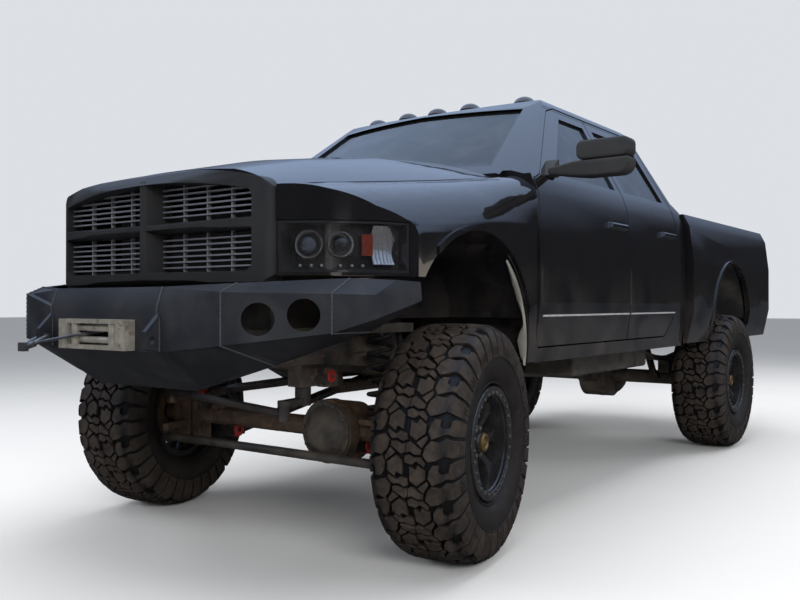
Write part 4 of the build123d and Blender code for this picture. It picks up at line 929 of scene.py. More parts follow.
def prism_mesh(points, axis, start, end, bevel=0.0, segments=2):
    """Flat outline pushed from start to end along an axis; points are the other two coordinates."""
    work = bmesh.new()
    order = {"X": (2, 0, 1), "Y": (0, 2, 1), "Z": (0, 1, 2)}[axis]
    caps = []
    for level in (start, end):
        ring = []
        for a, b in points:
            flat = (a, b, level)
            ring.append(work.verts.new([flat[order[i]] for i in range(3)]))
        caps.append(ring)
    work.faces.new(caps[0])
    work.faces.new(list(reversed(caps[1])))
    for i in range(len(points)):
        j = (i + 1) % len(points)
        work.faces.new((caps[0][i], caps[1][i], caps[1][j], caps[0][j]))
    bmesh.ops.recalc_face_normals(work, faces=work.faces)
    if bevel:
        bmesh.ops.bevel(work, geom=list(work.edges), offset=bevel, segments=segments, profile=0.6,
                        affect="EDGES")
    mesh = bpy.data.meshes.new("prism")
    work.to_mesh(mesh)
    work.free()
    return mesh


polish = dusty_metal("polished_strip", (0.62, 0.62, 0.64), road_dust, 0.8, 1.3, rough=0.2,
                     metal=0.45, amount=0.15)
# Strips, columns: door, front end, back end behind the front axle
STRIPS = [("front", 0.634, 1.695), ("rear", 1.721, 2.452)]
# Section of a strip on the left side: x, height
STRIP_SECTION = [(0.979, 0.988), (0.9868, 0.9885), (0.9880, 0.9930), (0.9872, 0.9975), (0.980, 0.998)]
for side, sign in (("left", 1), ("right", -1)):
    for end, front, back in STRIPS:
        soften("door_%s_%s" % (end, side), "door_%s_%s_skin" % (end, side), body_black, 0.0035, 30)
        strip = prism_mesh(STRIP_SECTION, "Y", front - MIDDLE, back - MIDDLE)
        if sign < 0:
            strip.transform(Matrix.Rotation(math.pi, 4, "Z"))
            strip.transform(Matrix.Translation((0, front + back - 2 * MIDDLE, 0)))
        new_piece("strip_%s_%s" % (end, side), strip, polish, "door_%s_%s" % (end, side))

# Tow mirrors
# Big flip-out heads of grained black plastic, each with two panes of silvered glass. A short arm
# carries the head and is bolted with its foot to the front door.

grain_finish = Finish("grained_plastic", Specular_IOR_Level=0.4)
grain = grain_finish.cells(520.0)
fade = grain_finish.noise(8.0, 5.0)
grained_plastic = grain_finish.wear(
    Base_Color=grain_finish.mix(fade, (0.016, 0.016, 0.017), (0.030, 0.029, 0.028)),
    Roughness=0.48 + fade * 0.15,
    Normal=grain_finish.bump(grain, 0.00025),
)
mirror_finish = Finish("mirror_silver", Metallic=1.0)
mirror_silver = mirror_finish.wear(
    Base_Color=mirror_finish.mix(mirror_finish.noise(4.0), (0.80, 0.82, 0.84), (0.74, 0.76, 0.78)),
    Roughness=0.02 + mirror_finish.step(mirror_finish.noise(30.0), 0.5, 0.8) * 0.10,
)
# Steps of a round corner
CORNER_STEPS = 5


def rounded_outline(low, high, radius):
    """Rectangle between two corners with round corners."""
    points = []
    corners = ((high[0], high[1]), (low[0], high[1]), (low[0], low[1]), (high[0], low[1]))
    for k, (cx, cz) in enumerate(corners):
        inner = (cx + (radius if cx == low[0] else -radius), cz + (radius if cz == low[1] else -radius))
        for j in range(CORNER_STEPS + 1):
            angle = math.radians(90 * k + 90 * j / CORNER_STEPS)
            points.append((inner[0] + radius * math.cos(angle), inner[1] + radius * math.sin(angle)))
    return points


# Head's front and back and the panes' face, behind the front axle
HEAD_FRONT, HEAD_BACK, PANE_FACE = 0.738, 0.8450, 0.8475
# Upper shell and two panes, each by its lower inner and upper outer corner, seen from the front:
# x, height; and how round their corners are
UPPER_SHELL = ((1.100, 1.722), (1.353, 1.811))
PANES = [((1.112, 1.730), (1.341, 1.801)), ((1.112, 1.654), (1.336, 1.711))]
SHELL_ROUND, PANE_ROUND = 0.030, 0.018
# Lower shell and arm seen from the front: x, height
LOWER_SHELL = [(0.945, 1.668), (0.945, 1.702), (1.000, 1.708), (1.080, 1.719), (1.353, 1.7195),
               (1.3535, 1.690), (1.345, 1.664), (1.328, 1.649), (1.305, 1.642), (1.140, 1.642),
               (1.060, 1.652), (1.000, 1.662)]
# The lower shell thins into the arm inside this x, over this length, round this line, by this share
ARM_START, ARM_TAPER, ARM_LINE, ARM_PULL = 1.115, 0.13, 0.790, 0.45
# Foot on the door seen from the side: distance behind the front axle, height; and its x
FOOT = [(0.756, 1.666), (0.868, 1.666), (0.868, 1.758), (0.848, 1.750)]
FOOT_IN, FOOT_OUT = 0.882, 0.956


def mirror_parts():
    """Left mirror: fixed upper shell, lower shell that runs into the arm, foot and two panes."""
    front, back, pane = HEAD_FRONT - MIDDLE, HEAD_BACK - MIDDLE, PANE_FACE - MIDDLE
    upper = prism_mesh(rounded_outline(*UPPER_SHELL, SHELL_ROUND), "Y", front, back, 0.014, 4)
    lower = prism_mesh(LOWER_SHELL, "Y", front, back, 0.012, 4)
    for vert in lower.vertices:
        thin = min(1.0, max(0.0, (ARM_START - vert.co.x) / ARM_TAPER))
        vert.co.y = vert.co.y + (ARM_LINE - MIDDLE - vert.co.y) * thin * ARM_PULL
    foot = prism_mesh(FOOT, "X", FOOT_IN, FOOT_OUT, 0.008, 3)
    for vert in foot.vertices:
        vert.co.y -= MIDDLE
    parts = []
    for mesh in (upper, lower, foot):
        smooth_by_angle(mesh, 50)
        parts.append(with_material(mesh, grained_plastic))
    for low, high in PANES:
        glass = prism_mesh(rounded_outline(low, high, PANE_ROUND), "Y", back, pane, 0.0008)
        parts.append(with_material(glass, mirror_silver))
    return parts


def flipped(mesh):
    """The mesh on the other side of the truck."""
    other = mesh.copy()
    other.transform(Matrix.Scale(-1, 4, (1, 0, 0)))
    other.flip_normals()
    return other


mirror_kit = joined(mirror_parts())
new_piece("mirror_left_head", mirror_kit, None, "door_front_left", ("mirror_left",))
new_piece("mirror_right_head", flipped(mirror_kit), None, "door_front_right", ("mirror_right",))

# Hood
# Long pressed steel panel with a raised middle, in the body's paint. It is hinged at the windscreen
# and takes the grille with it.

soften("hood", "hood_panel", body_black, 0.004, 30)

# Fenders
# Big bulging panels pressed from steel and bolted on round the front wheels. The plastic liners in
# their arches have a pale flap that hangs loose at the rear edge.

soften("fenders", "fender_panels", body_black, 0.003, 30)
flap_finish = Finish("liner_pale", Specular_IOR_Level=0.3)
flap_cloud = flap_finish.noise(14.0, 5.0)
liner_pale = flap_finish.wear(
    Base_Color=flap_finish.mix(flap_cloud, (0.24, 0.23, 0.21), (0.12, 0.11, 0.095)),
    Roughness=0.6 + flap_cloud * 0.2,
    Normal=flap_finish.bump(flap_cloud, 0.001),
)
# Front wheel arch: middle behind the front axle, its height, radius, and x of the flap's outer edge
ARCH_S, ARCH_Z, ARCH_R = 0.050, 0.880, 0.455
FLAP_X = 0.966
# How far the flap bulges into the arch, and its thickness
FLAP_BULGE, FLAP_THICK = 0.006, 0.004
# Width of the flap by its angle up the back of the arch, in degrees
FLAP = [(-14, 0.008), (-8, 0.030), (0, 0.046), (5, 0.034), (9, 0.014), (15, 0.014), (24, 0.026),
        (34, 0.028), (44, 0.020), (52, 0.006)]


def flap_mesh():
    """Bent flap of the left liner's edge."""
    work = bmesh.new()
    rows = []
    for angle in range(FLAP[0][0], FLAP[-1][0] + 1, 2):
        wide = between(FLAP, angle)
        way = Vector((math.cos(math.radians(angle)), math.sin(math.radians(angle))))
        section = ((0, ARCH_R), (wide * 0.5, ARCH_R - FLAP_BULGE), (wide, ARCH_R),
                   (wide, ARCH_R + FLAP_THICK), (0, ARCH_R + FLAP_THICK))
        row = []
        for inward, radius in section:
            point = spot(FLAP_X - inward, ARCH_S + way.x * radius, ARCH_Z + way.y * radius)
            row.append(work.verts.new(point))
        rows.append(row)
    for a, b in zip(rows, rows[1:]):
        for k in range(5):
            work.faces.new((a[k], a[(k + 1) % 5], b[(k + 1) % 5], b[k]))
    work.faces.new(rows[0])
    work.faces.new(rows[-1])
    bmesh.ops.recalc_face_normals(work, faces=work.faces)
    mesh = bpy.data.meshes.new("flap")
    work.to_mesh(mesh)
    work.free()
    smooth_by_angle(mesh, 50)
    return mesh


flap_kit = flap_mesh()
new_piece("liner_flap_left", flap_kit, liner_pale, "truck")
new_piece("liner_flap_right", flipped(flap_kit), liner_pale, "truck")

# Grille
# Deep moulded shell in satin black with a cross in the middle, screwed to the hood's nose. Thin
# silver bars lie across its four openings, and a plastic valance closes the gap to the bumper.

shell_finish = Finish("grille_black", Specular_IOR_Level=0.45)
shell_cloud = shell_finish.noise(7.0, 6.0, 0.6)
grille_black = shell_finish.wear(
    Base_Color=shell_finish.mix(shell_cloud, (0.011, 0.011, 0.012), (0.020, 0.020, 0.020)),
    Roughness=0.34 + shell_cloud * 0.12,
    Normal=shell_finish.bump(shell_finish.noise(600.0, 2.0), 0.0001),
)
soften("grille_shell", "grille_frame", grille_black, 0.012, 40, 4)
bars_finish = Finish("grille_silver", Metallic=0.8)
bars_cloud = bars_finish.noise(30.0, 5.0)
grille_silver = bars_finish.wear(
    Base_Color=bars_finish.mix(bars_cloud, (0.50, 0.50, 0.54), (0.32, 0.32, 0.35)),
    Roughness=0.28 + bars_cloud * 0.25,
)
soften("grille_bars", "grille_slats", grille_silver, 0.0012, 40)

# Valance seen from the side: distance behind the front axle, height
VALANCE = [(-0.801, 1.140), (-0.797, 1.140), (-0.796, 1.078), (-0.770, 1.066), (-0.770, 1.062),
           (-0.801, 1.074)]
VALANCE_HALF = 0.600
valance = prism_mesh([(s - MIDDLE, z) for s, z in VALANCE], "X", -VALANCE_HALF, VALANCE_HALF, 0.001)
new_piece("valance", valance, grained_plastic, "truck")

# Headlamps
# Black moulded housings in the openings beside the grille, each with two round projectors, an amber
# side lens, a fluted reflector and a row of small white lamps. A clear cover is glued over them.

lamp_box = Finish("lamp_black", Specular_IOR_Level=0.6, Coat_Weight=0.5, Coat_Roughness=0.05)
lamp_grain = lamp_box.noise(60.0, 4.0)
lamp_black = lamp_box.wear(
    Base_Color=lamp_box.mix(lamp_grain, (0.006, 0.006, 0.007), (0.014, 0.014, 0.015)),
    Roughness=0.16 + lamp_grain * 0.15,
)
soften("headlamps", "headlamp_units", lamp_black, 0.002, 30)
chrome_finish = Finish("lamp_chrome", Metallic=0.85)
chrome_cloud = chrome_finish.noise(40.0, 4.0)
lamp_chrome = chrome_finish.wear(
    Base_Color=chrome_finish.mix(chrome_cloud, (0.62, 0.63, 0.65), (0.36, 0.37, 0.39)),
    Roughness=0.05 + chrome_cloud * 0.10,
)
cover_finish = Finish("lamp_cover", IOR=1.4, Coat_Weight=0.2, Coat_Roughness=0.02)
haze = cover_finish.step(cover_finish.noise(16.0, 6.0, 0.65), 0.45, 0.75)
lamp_cover = cover_finish.wear(
    Base_Color=cover_finish.mix(haze, (0.012, 0.012, 0.013), (0.05, 0.05, 0.047)),
    Roughness=0.02 + haze * 0.08,
    Alpha=0.10 + haze * 0.05,
)
lens_glass = glass_finish("projector_lens", (0.07, 0.085, 0.11), 0.5)
amber_finish = Finish("amber_lens", Roughness=0.08, Coat_Weight=1.0)
amber_lens = amber_finish.wear(
    Base_Color=amber_finish.mix(amber_finish.cells(320.0), (0.13, 0.020, 0.007), (0.05, 0.009, 0.003)),
    Normal=amber_finish.bump(amber_finish.cells(320.0), 0.001),
)
led_finish = Finish("led_white", Roughness=0.1, Coat_Weight=0.6)
led_white = led_finish.wear(
    Base_Color=led_finish.mix(led_finish.noise(90.0), (0.17, 0.175, 0.19), (0.09, 0.095, 0.10)),
)
# Plan of the lamp's face on the left side: x, distance behind the front axle
LAMP_PLAN = [(0.664, -0.7635), (0.735, -0.7195), (0.800, -0.6730), (0.860, -0.6020),
             (0.912, -0.5400), (0.940, -0.4720), (0.951, -0.4360)]


def lamp_place(share, inset):
    """Point of the lamp's plan by its share of the way outwards, moved inwards, and the way out."""
    spans = [math.dist(a, b) for a, b in zip(LAMP_PLAN, LAMP_PLAN[1:])]
    left = share * sum(spans)
    for (a, b), span in zip(zip(LAMP_PLAN, LAMP_PLAN[1:]), spans):
        if left <= span or b == LAMP_PLAN[-1]:
            break
        left -= span
    out = Vector((b[1] - a[1], a[0] - b[0])) / span
    return Vector(a).lerp(Vector(b), left / span) - out * inset, out


# Sheets that follow the plan, columns: inset, thickness, lower and upper edge, first and last share
# of the plan, steps
AMBER_SHEET = (0.016, 0.012, 1.222, 1.300, 0.655, 0.745, 6)
TRIM_SHEET = (0.012, 0.010, 1.1725, 1.1765, 0.03, 0.70, 18)
CLEAR_SHEET = (0.0035, 0.0025, 1.170, 1.338, 0.0, 1.0, 26)


def lamp_sheet(inset, thick, low, high, first, last, steps):
    """Upright sheet that follows the lamp's plan."""
    work = bmesh.new()
    columns = []
    for k in range(steps + 1):
        front, out = lamp_place(first + (last - first) * k / steps, inset)
        back = front - out * thick
        columns.append([work.verts.new((p.x, p.y - MIDDLE, z)) for p, z in
                        ((front, low), (front, high), (back, high), (back, low))])
    for a, b in zip(columns, columns[1:]):
        for k in range(4):
            work.faces.new((a[k], a[(k + 1) % 4], b[(k + 1) % 4], b[k]))
    work.faces.new(columns[0])
    work.faces.new(columns[-1])
    bmesh.ops.recalc_face_normals(work, faces=work.faces)
    mesh = bpy.data.meshes.new("sheet")
    work.to_mesh(mesh)
    work.free()
    smooth_by_angle(mesh, 30)
    return mesh


# Reflector: shares of the plan and heights between which it lies, how far its edge is inside the
# cover, and how deep its bowl and its flutes are
REFLECTOR_IN, REFLECTOR_OUT = 0.755, 0.960
REFLECTOR_LOW, REFLECTOR_HIGH = 1.192, 1.332
REFLECTOR_INSET, BOWL_DEPTH, FLUTE_DEPTH = 0.012, 0.020, 0.004
FLUTES = 6
BOWL_ROWS = 8
# The upper outer corner is cut round from this share of the width on, by this share of the height
CUT_FROM, CUT_DEEP = 0.6, 0.35


def reflector_mesh():
    """Hollow reflector that follows the lamp's plan, deepest in the middle, with upright flutes."""
    work = bmesh.new()
    columns = []
    for k in range(FLUTES * 2 + 1):
        share = k / (FLUTES * 2)
        cut = CUT_DEEP * (max(0.0, share - CUT_FROM) / (1 - CUT_FROM)) ** 2
        top = REFLECTOR_HIGH - (REFLECTOR_HIGH - REFLECTOR_LOW) * cut
        column = []
        for j in range(BOWL_ROWS + 1):
            tall = j / BOWL_ROWS
            bowl = 1 - (2 * tall - 1) ** 2
            inset = REFLECTOR_INSET + BOWL_DEPTH * bowl + FLUTE_DEPTH * (k % 2)
            place = lamp_place(REFLECTOR_IN + (REFLECTOR_OUT - REFLECTOR_IN) * share, inset)[0]
            height = REFLECTOR_LOW + (top - REFLECTOR_LOW) * tall
            column.append(work.verts.new((place.x, place.y - MIDDLE, height)))
        columns.append(column)
    for a, b in zip(columns, columns[1:]):
        for j in range(BOWL_ROWS):
            work.faces.new((a[j], b[j], b[j + 1], a[j + 1]))
    mesh = bpy.data.meshes.new("reflector")
    work.to_mesh(mesh)
    work.free()
    return mesh


# Projectors, columns: x, distance behind the front axle, radius; their height, and how many degrees
# they are turned from +X towards the nose
PROJECTORS = [(0.740, -0.704, 0.050), (0.828, -0.632, 0.046)]
LAMP_Z = 1.262
LAMP_FACING = 63.4
# Small white lamps: height, how far they are inside the cover, and shares of the way along the plan
LED_Z = 1.186
LED_INSET = 0.016
LED_SHARES = (0.146, 0.238, 0.321, 0.482, 0.574, 0.662)


def lamp_parts():
    """Everything behind the left lamp's cover."""
    parts = [with_material(reflector_mesh(), lamp_chrome),
             with_material(lamp_sheet(*AMBER_SHEET), amber_lens),
             with_material(lamp_sheet(*TRIM_SHEET), lamp_black)]
    for k, (x, s, radius) in enumerate(PROJECTORS):
        bowl = turned_mesh([(-0.012, radius * 1.02), (-0.006, radius * 1.03), (-0.003, radius),
                            (-0.005, radius * 0.94), (-0.016, radius * 0.80), (-0.026, radius * 0.66)], 44)
        eye = turned_mesh([(-0.014, radius * 0.70), (-0.008, radius * 0.62), (-0.001, radius * 0.40),
                           (0.002, 0.0)], 40)
        facing = Matrix.Rotation(math.radians(-LAMP_FACING), 4, "Z")
        # The second projector's lens is given the housing's black instead of glass: painted shade
        for mesh, material in ((bowl, lamp_chrome), (eye, lens_glass if k == 0 else lamp_black)):
            smooth_by_angle(mesh, 40)
            mesh.transform(Matrix.Translation(spot(x, s, LAMP_Z)) @ facing)
            parts.append(with_material(mesh, material))
    for share in LED_SHARES:
        place, out = lamp_place(share, LED_INSET)
        dome = turned_mesh([(0.0, 0.0062), (0.003, 0.0055), (0.005, 0.0035), (0.0056, 0.0)], 14)
        smooth_by_angle(dome, 60)
        dome.transform(Matrix.Translation(spot(place.x, place.y, LED_Z)) @
                       Matrix.Rotation(math.atan2(out.y, out.x), 4, "Z"))
        parts.append(with_material(dome, led_white))
    return parts


lamp_kit = joined(lamp_parts())
clear_kit = lamp_sheet(*CLEAR_SHEET)
for side in ("left", "right"):
    inner = lamp_kit if side == "left" else flipped(lamp_kit)
    clear = clear_kit if side == "left" else flipped(clear_kit)
    new_piece("headlamp_%s_inside" % side, inner, None, "truck")
    new_piece("headlamp_%s_cover" % side, clear, lamp_cover, "truck")

# Front bumper
# Steel plate, folded and welded and then powder-coated in satin black. Weld beads run along the
# folds and at the tow tabs.


def tube_mesh(points, radius, steps):
    """Round tube along points, with closed ends."""
    work = bmesh.new()
    points = [Vector(p) for p in points]
    rings = []
    side = None
    for i, point in enumerate(points):
        ahead = points[min(i + 1, len(points) - 1)] - points[max(i - 1, 0)]
        ahead.normalize()
        if side is None:
            side = ahead.orthogonal().normalized()
        side = (side - ahead * side.dot(ahead)).normalized()
        over = ahead.cross(side)
        ring = []
        for k in range(steps):
            angle = 2 * math.pi * k / steps
            ring.append(work.verts.new(point + (side * math.cos(angle) + over * math.sin(angle)) * radius))
        rings.append(ring)
    for a, b in zip(rings, rings[1:]):
        for k in range(steps):
            work.faces.new((a[k], a[(k + 1) % steps], b[(k + 1) % steps], b[k]))
    work.faces.new(list(reversed(rings[0])))
    work.faces.new(rings[-1])
    bmesh.ops.recalc_face_normals(work, faces=work.faces)
    mesh = bpy.data.meshes.new("tube")
    work.to_mesh(mesh)
    work.free()
    smooth_by_angle(mesh, 40)
    return mesh


plate_finish = Finish("plate_black", Specular_IOR_Level=0.5)
plate_cloud = plate_finish.noise(6.0, 6.0, 0.62, 0.3)
plate_speck = plate_finish.noise(300.0, 2.0)
scratch = plate_finish.step(plate_finish.noise(30.0, 3.0, 0.7, stretch=(1.0, 1.0, 14.0)), 0.66, 0.72) * 0.4
plate_dust = plate_finish.step(plate_cloud * 0.7 + plate_speck * 0.3, 0.42, 0.70) * 0.14
plate_mask = plate_dust.highest(scratch * 0.5)
plate_black = plate_finish.wear(
    Base_Color=plate_finish.mix(plate_mask, (0.010, 0.011, 0.014), (0.12, 0.115, 0.115)),
    Roughness=0.40 + plate_mask * 0.4 + plate_speck * 0.06,
    Normal=plate_finish.bump(plate_speck, 0.00025),
)
soften("front_bumper", "bumper_plates", plate_black, 0.003, 25)
soften("tow_tabs", "tow_tab_plates", plate_black, 0.002, 40)
# Seams of the folded plates on the left side, as points x, distance behind the front axle, height
SEAMS = [
    [(0.330, -1.018, 1.110), (0.330, -1.043, 1.039), (0.330, -1.043, 0.876)],
    [(0.600, -0.912, 1.122), (0.600, -0.990, 1.090), (0.600, -0.990, 0.906), (0.590, -0.720, 0.822)],
    [(0.880, -0.640, 1.140), (0.880, -0.738, 1.084), (0.880, -0.738, 0.947), (0.840, -0.470, 0.944)],
]
# Length of a weld puddle, the corners of a bead's section, and its radius on folds and on tabs
PUDDLE = 0.009
BEAD_SIDES = 7
FOLD_BEAD, TAB_BEAD = 0.0046, 0.0036


def bead_mesh(points, radius):
    """Weld bead: a rod along points that swells at each puddle."""
    dense = []
    for a, b in zip(points, points[1:]):
        count = max(2, int((b - a).length / PUDDLE))
        dense += [a.lerp(b, k / count) for k in range(count)]
    mesh = tube_mesh(dense, radius, BEAD_SIDES)
    for i, vert in enumerate(mesh.vertices):
        ring = i // BEAD_SIDES
        swell = 1.0 if ring % 2 else 0.55
        vert.co = dense[ring] + (vert.co - dense[ring]) * swell
    return mesh


# Upright seams at both sides of a tow tab: x of each, then their place, lower and upper end
TAB_SEAMS = (0.345, 0.3215)
TAB_SEAM_S, TAB_SEAM_LOW, TAB_SEAM_HIGH = -1.0435, 0.880, 1.010
beads = []
for sign in (1, -1):
    for seam in SEAMS:
        beads.append(bead_mesh([spot(sign * x, s, z) for x, s, z in seam], FOLD_BEAD))
    for x in TAB_SEAMS:
        ends = [spot(sign * x, TAB_SEAM_S, z) for z in (TAB_SEAM_LOW, TAB_SEAM_HIGH)]
        beads.append(bead_mesh(ends, TAB_BEAD))
weld_finish = Finish("weld_grey", Specular_IOR_Level=0.6)
weld_speck = weld_finish.noise(180.0, 3.0)
weld_grey = weld_finish.wear(
    Base_Color=weld_finish.mix(weld_speck, (0.012, 0.013, 0.015), (0.060, 0.060, 0.064)),
    Roughness=0.35 + weld_speck * 0.3,
)
new_piece("bumper_welds", joined([with_material(m, weld_grey) for m in beads]), None, "truck")

# Winch, fairlead, rope and shackle
# Black drum behind a zinc-plated roller fairlead that is bolted to the bumper. A steel rope runs
# taut from it to a hook on the shackle of the right tow tab.

zinc = dusty_metal("zinc_plate", (0.62, 0.58, 0.50), (0.30, 0.25, 0.18), 0.5, 1.3, rough=0.30,
                   metal=0.7, amount=0.22, rust=0.1)
rope_steel = dusty_metal("rope_steel", (0.35, 0.34, 0.33), (0.25, 0.21, 0.16), 0.5, 1.3, rough=0.38,
                         metal=0.95, amount=0.3)
soften("winch", "winch_drum", bar_black, 0.002, 40)
soften("fairlead", "fairlead_rollers", zinc, 0.002, 40)
soften("shackle", "shackle_bow", rope_steel, 0.001, 40)
soften("winch_cable", "winch_rope", rope_steel, 0.001, 40)

# Roof lamps
# Five marker lamps in a row over the windscreen: smoked and fluted plastic domes, each screwed to
# the roof on its own gasket.

smoke_finish = Finish("smoked_lens", Roughness=0.08, Coat_Weight=1.0, Coat_Roughness=0.02)
smoked_lens = smoke_finish.wear(
    Base_Color=smoke_finish.mix(smoke_finish.noise(50.0), (0.012, 0.009, 0.010), (0.026, 0.017, 0.015)),
    Roughness=0.14 + smoke_finish.noise(20.0) * 0.1,
)
# Places of the lamps: x, distance behind the front axle
ROOF_LAMPS = [(0.0, 1.223), (0.218, 1.232), (-0.218, 1.232), (0.518, 1.323), (-0.518, 1.323)]
# Half section of a lens: share of its height, radius
LENS_LINE = [(0.30, 0.060), (0.34, 0.057), (0.55, 0.052), (0.75, 0.041), (0.90, 0.026), (0.98, 0.011),
             (1.0, 0.0)]
# Flutes of a lens: their number, depth as a share of the radius, and where they begin in its height
LENS_FLUTES = 32
FLUTE_SHARE = 0.012
FLUTE_START = 0.32
# A point of the solid belongs to the lamp that is nearer than this
LAMP_REACH = 0.07


def roof_lamp_meshes():
    """Low domed lens with fine flutes on each lamp's gasket."""
    made = []
    points = [vert.co for vert in frame["nodes"]["roof_lamps"].data.vertices]
    for x, s in ROOF_LAMPS:
        heights = [co.z for co in points if math.hypot(co.x - x, co.y - s + MIDDLE) < LAMP_REACH]
        low, high = min(heights), max(heights)
        tall = high - low
        line = [(-0.002, LENS_LINE[0][1])] + [(tall * share, radius) for share, radius in LENS_LINE]
        dome = turned_mesh(line, LENS_FLUTES * 2)
        for vert in dome.vertices:
            out = math.hypot(vert.co.y, vert.co.z)
            if vert.co.x > tall * FLUTE_START and out > 0.005:
                swell = 1 + FLUTE_SHARE * math.cos(math.atan2(vert.co.y, vert.co.z) * LENS_FLUTES)
                vert.co.y *= swell
                vert.co.z *= swell
        smooth_by_angle(dome, 50)
        dome.transform(Matrix.Translation(spot(x, s, low)) @ Matrix.Rotation(math.radians(-90), 4, "Y"))
        made.append(with_material(dome, smoked_lens))
    return made


new_piece("roof_markers", joined(roof_lamp_meshes()), None, "truck", ("roof_lamps",))

# Load bed
# Box of painted steel with double walls, bolted to the frame, with a liner sprayed inside and a
# tailgate on pins. The tail lamps are red, with a clear lens for reversing in the middle.

liner_finish = Finish("bed_liner", Specular_IOR_Level=0.3)
liner_grain = liner_finish.noise(240.0, 3.0, 0.7)
liner_dust = liner_finish.step(liner_finish.noise(5.0, 5.0), 0.45, 0.75) * 0.4
bed_liner = liner_finish.wear(
    Base_Color=liner_finish.mix(liner_dust, (0.018, 0.018, 0.018), (0.13, 0.115, 0.09)),
    Roughness=0.7 + liner_dust * 0.2,
    Normal=liner_finish.bump(liner_grain, 0.0012),
)
soften("bed_tub", "bed_floor", bed_liner, 0.004, 40)
soften("bed_sides", "bed_panels", body_black, 0.004, 30)
soften("tailgate", "tailgate_panel", body_black, 0.005, 40)
lens_finish = Finish("red_lens", Roughness=0.06, Coat_Weight=1.0)
lens_low, lens_high = (corner.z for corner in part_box("tail_lamps"))
lens_share = (lens_finish.height - lens_low) / (lens_high - lens_low)
# Middle of the clear lens and half its height, as shares of the lamp's height
CLEAR_MIDDLE, CLEAR_HALF = 0.36, 0.10
from_middle = (lens_share - CLEAR_MIDDLE).size()
clear_band = lens_finish.step(from_middle, CLEAR_HALF - 0.005, CLEAR_HALF, 1.0, 0.0)
seam_band = lens_finish.step((from_middle - CLEAR_HALF).size(), 0.006, 0.010, 1.0, 0.0)
lens_cells = lens_finish.cells(190.0)
red_tone = lens_finish.mix(lens_cells, (0.26, 0.008, 0.008), (0.10, 0.004, 0.004))
clear_tone = lens_finish.mix(lens_cells, (0.42, 0.40, 0.40), (0.24, 0.22, 0.22))
lens_tone = lens_finish.mix(clear_band, red_tone, clear_tone)
red_lens = lens_finish.wear(
    Base_Color=lens_finish.mix(seam_band, lens_tone, (0.02, 0.004, 0.004)),
    Normal=lens_finish.bump(lens_cells, 0.0008),
)
soften("tail_lamps", "tail_lamp_units", red_lens, 0.008, 40, 3)
soften("rear_bumper", "rear_bumper_bar", plate_black, 0.006, 40, 3)
soften("receiver", "hitch_receiver", frame_paint, 0.002, 40)

# Floor, light and camera
# Plain pale studio floor and large soft lights, with the camera where the photograph's was.

FLOOR_HALF = 60.0
floor_mesh = bpy.data.meshes.new("floor")
floor_work = bmesh.new()
bmesh.ops.create_grid(floor_work, x_segments=1, y_segments=1, size=FLOOR_HALF)
floor_work.to_mesh(floor_mesh)
floor_work.free()
floor = bpy.data.objects.new("floor", floor_mesh)
bpy.context.scene.collection.objects.link(floor)
floor_finish = Finish("studio_floor", Roughness=0.85, Specular_IOR_Level=0.1)
in_mirror = floor_finish.node("ShaderNodeLightPath", out="Is Glossy Ray")
floor_tone = floor_finish.mix(floor_finish.noise(0.7, 3.0), (0.56, 0.56, 0.56), (0.60, 0.60, 0.60))
# The glossy skins mirror a darker floor than the camera sees
floor_grey = floor_finish.wear(Base_Color=floor_finish.mix(in_mirror, floor_tone, (0.035, 0.035, 0.038)))
floor_mesh.materials.append(floor_grey)


def soft_light(name, place, aim, size, power, colour, glints=False):
    """Large rectangular lamp at place, pointed at aim; glints lets glossy skins mirror it."""
    light = bpy.data.lights.new(name, "AREA")
    light.shape = "RECTANGLE"
    light.size, light.size_y = size
    light.energy = power
    light.color = colour
    lamp = bpy.data.objects.new(name, light)
    bpy.context.scene.collection.objects.link(lamp)
    lamp.visible_glossy = glints
    lamp.location = place
    lamp.rotation_mode = "QUATERNION"
    lamp.rotation_quaternion = (Vector(aim) - Vector(place)).to_track_quat("-Z", "Y")


# Each light: place, aim, length and height, power, colour
soft_light("top_light", (0.0, 0.0, 6.0), (0, 0, 0), (5.0, 9.0), 520, (1.0, 1.0, 1.0))
soft_light("key_light", (7.5, -7.0, 4.2), (0, -1.0, 0.8), (5.0, 2.2), 620, (1.0, 0.99, 0.97))
soft_light("fill_light", (-8.0, -6.0, 3.2), (0, -1.0, 0.8), (5.0, 2.4), 330, (0.95, 0.97, 1.0))
soft_light("back_light", (5.0, 8.0, 4.5), (0, 1.5, 1.0), (5.0, 2.5), 380, (1.0, 1.0, 1.0))
soft_light("rim_light", (-3.0, -4.5, 5.0), (0, -1.0, 1.2), (4.0, 1.0), 60, (1.0, 1.0, 1.0))
soft_light("door_glow", (9.0, 6.5, 1.2), (0, 1.5, 1.2), (7.0, 1.3), 30, (1.0, 0.90, 0.78), True)
soft_light("nose_glow", (6.5, -7.0, 1.1), (0, -2.5, 1.1), (1.4, 1.8), 7, (1.0, 0.97, 0.92), True)

# Grey wall for the camera, pale light from all sides, and a blue sky that only glossy skins mirror
world = bpy.data.worlds.new("studio")
world.use_nodes = True
bpy.context.scene.world = world
sky_tree = world.node_tree
sky_tree.nodes.clear()


def sky_node(kind, inputs=None, **settings):
    made = sky_tree.nodes.new(kind)
    for key, value in settings.items():
        setattr(made, key, value)
    for key, value in (inputs or {}).items():
        if hasattr(value, "is_output"):
            sky_tree.links.new(value, made.inputs[key])
        else:
            made.inputs[key].default_value = value
    return made


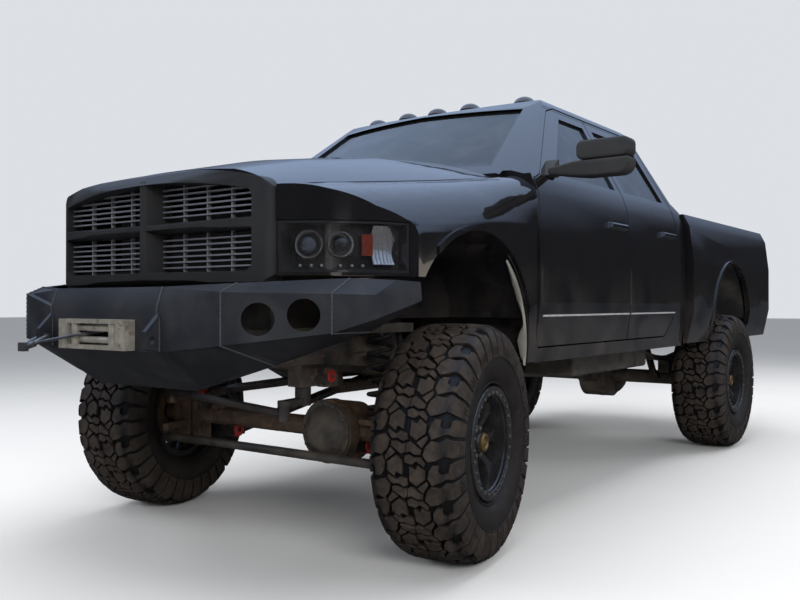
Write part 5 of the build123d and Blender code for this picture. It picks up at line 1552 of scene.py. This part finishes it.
way = sky_node("ShaderNodeTexCoord")
tall = sky_node("ShaderNodeSeparateXYZ", {0: way.outputs["Generated"]})
in_gloss = sky_node("ShaderNodeValToRGB", {0: tall.outputs["Z"]})
stops = in_gloss.color_ramp.elements
stops[0].position, stops[0].color = 0.0, (0.010, 0.010, 0.011, 1)
stops[1].position, stops[1].color = 0.95, (0.42, 0.55, 0.80, 1)
MIRROR_STOPS = [(0.14, (0.013, 0.014, 0.017, 1)), (0.22, (0.085, 0.105, 0.15, 1)),
                (0.5, (0.26, 0.34, 0.50, 1))]
for place, colour in MIRROR_STOPS:
    stops.new(place).color = colour
rays = sky_node("ShaderNodeLightPath")
mirror_sky = sky_node("ShaderNodeBackground", {"Color": in_gloss.outputs[0], "Strength": 1.5})
pale_sky = sky_node("ShaderNodeBackground", {"Color": (0.84, 0.87, 0.91, 1), "Strength": 0.62})
seen_sky = sky_node("ShaderNodeBackground", {"Color": (0.84, 0.87, 0.91, 1), "Strength": 0.86})
glossy_ray, camera_ray = rays.outputs["Is Glossy Ray"], rays.outputs["Is Camera Ray"]
lit = sky_node("ShaderNodeMixShader", {0: glossy_ray, 1: pale_sky.outputs[0], 2: mirror_sky.outputs[0]})
shown = sky_node("ShaderNodeMixShader", {0: camera_ray, 1: lit.outputs[0], 2: seen_sky.outputs[0]})
sky_node("ShaderNodeOutputWorld", {"Surface": shown.outputs[0]})

camera = bpy.data.objects.new("camera", bpy.data.cameras.new("camera"))
bpy.context.scene.collection.objects.link(camera)
# Camera fitted to the photograph: focal length and picture width in pixels, sensor width in mm
FOCAL_PX, WIDTH_PX, SENSOR_MM = 858, 800, 36.0
camera.data.lens = SENSOR_MM * FOCAL_PX / WIDTH_PX
camera.data.clip_end = 200
camera.location = (2.821, -4.784, 1.050)
turn, tilt = math.radians(36.47), math.radians(0.24)
ahead = Vector((-math.sin(turn) * math.cos(tilt), math.cos(turn) * math.cos(tilt), math.sin(tilt)))
camera.rotation_mode = "QUATERNION"
camera.rotation_quaternion = ahead.to_track_quat("-Z", "Y")
bpy.context.scene.camera = camera
bpy.context.scene.view_settings.view_transform = "Standard"
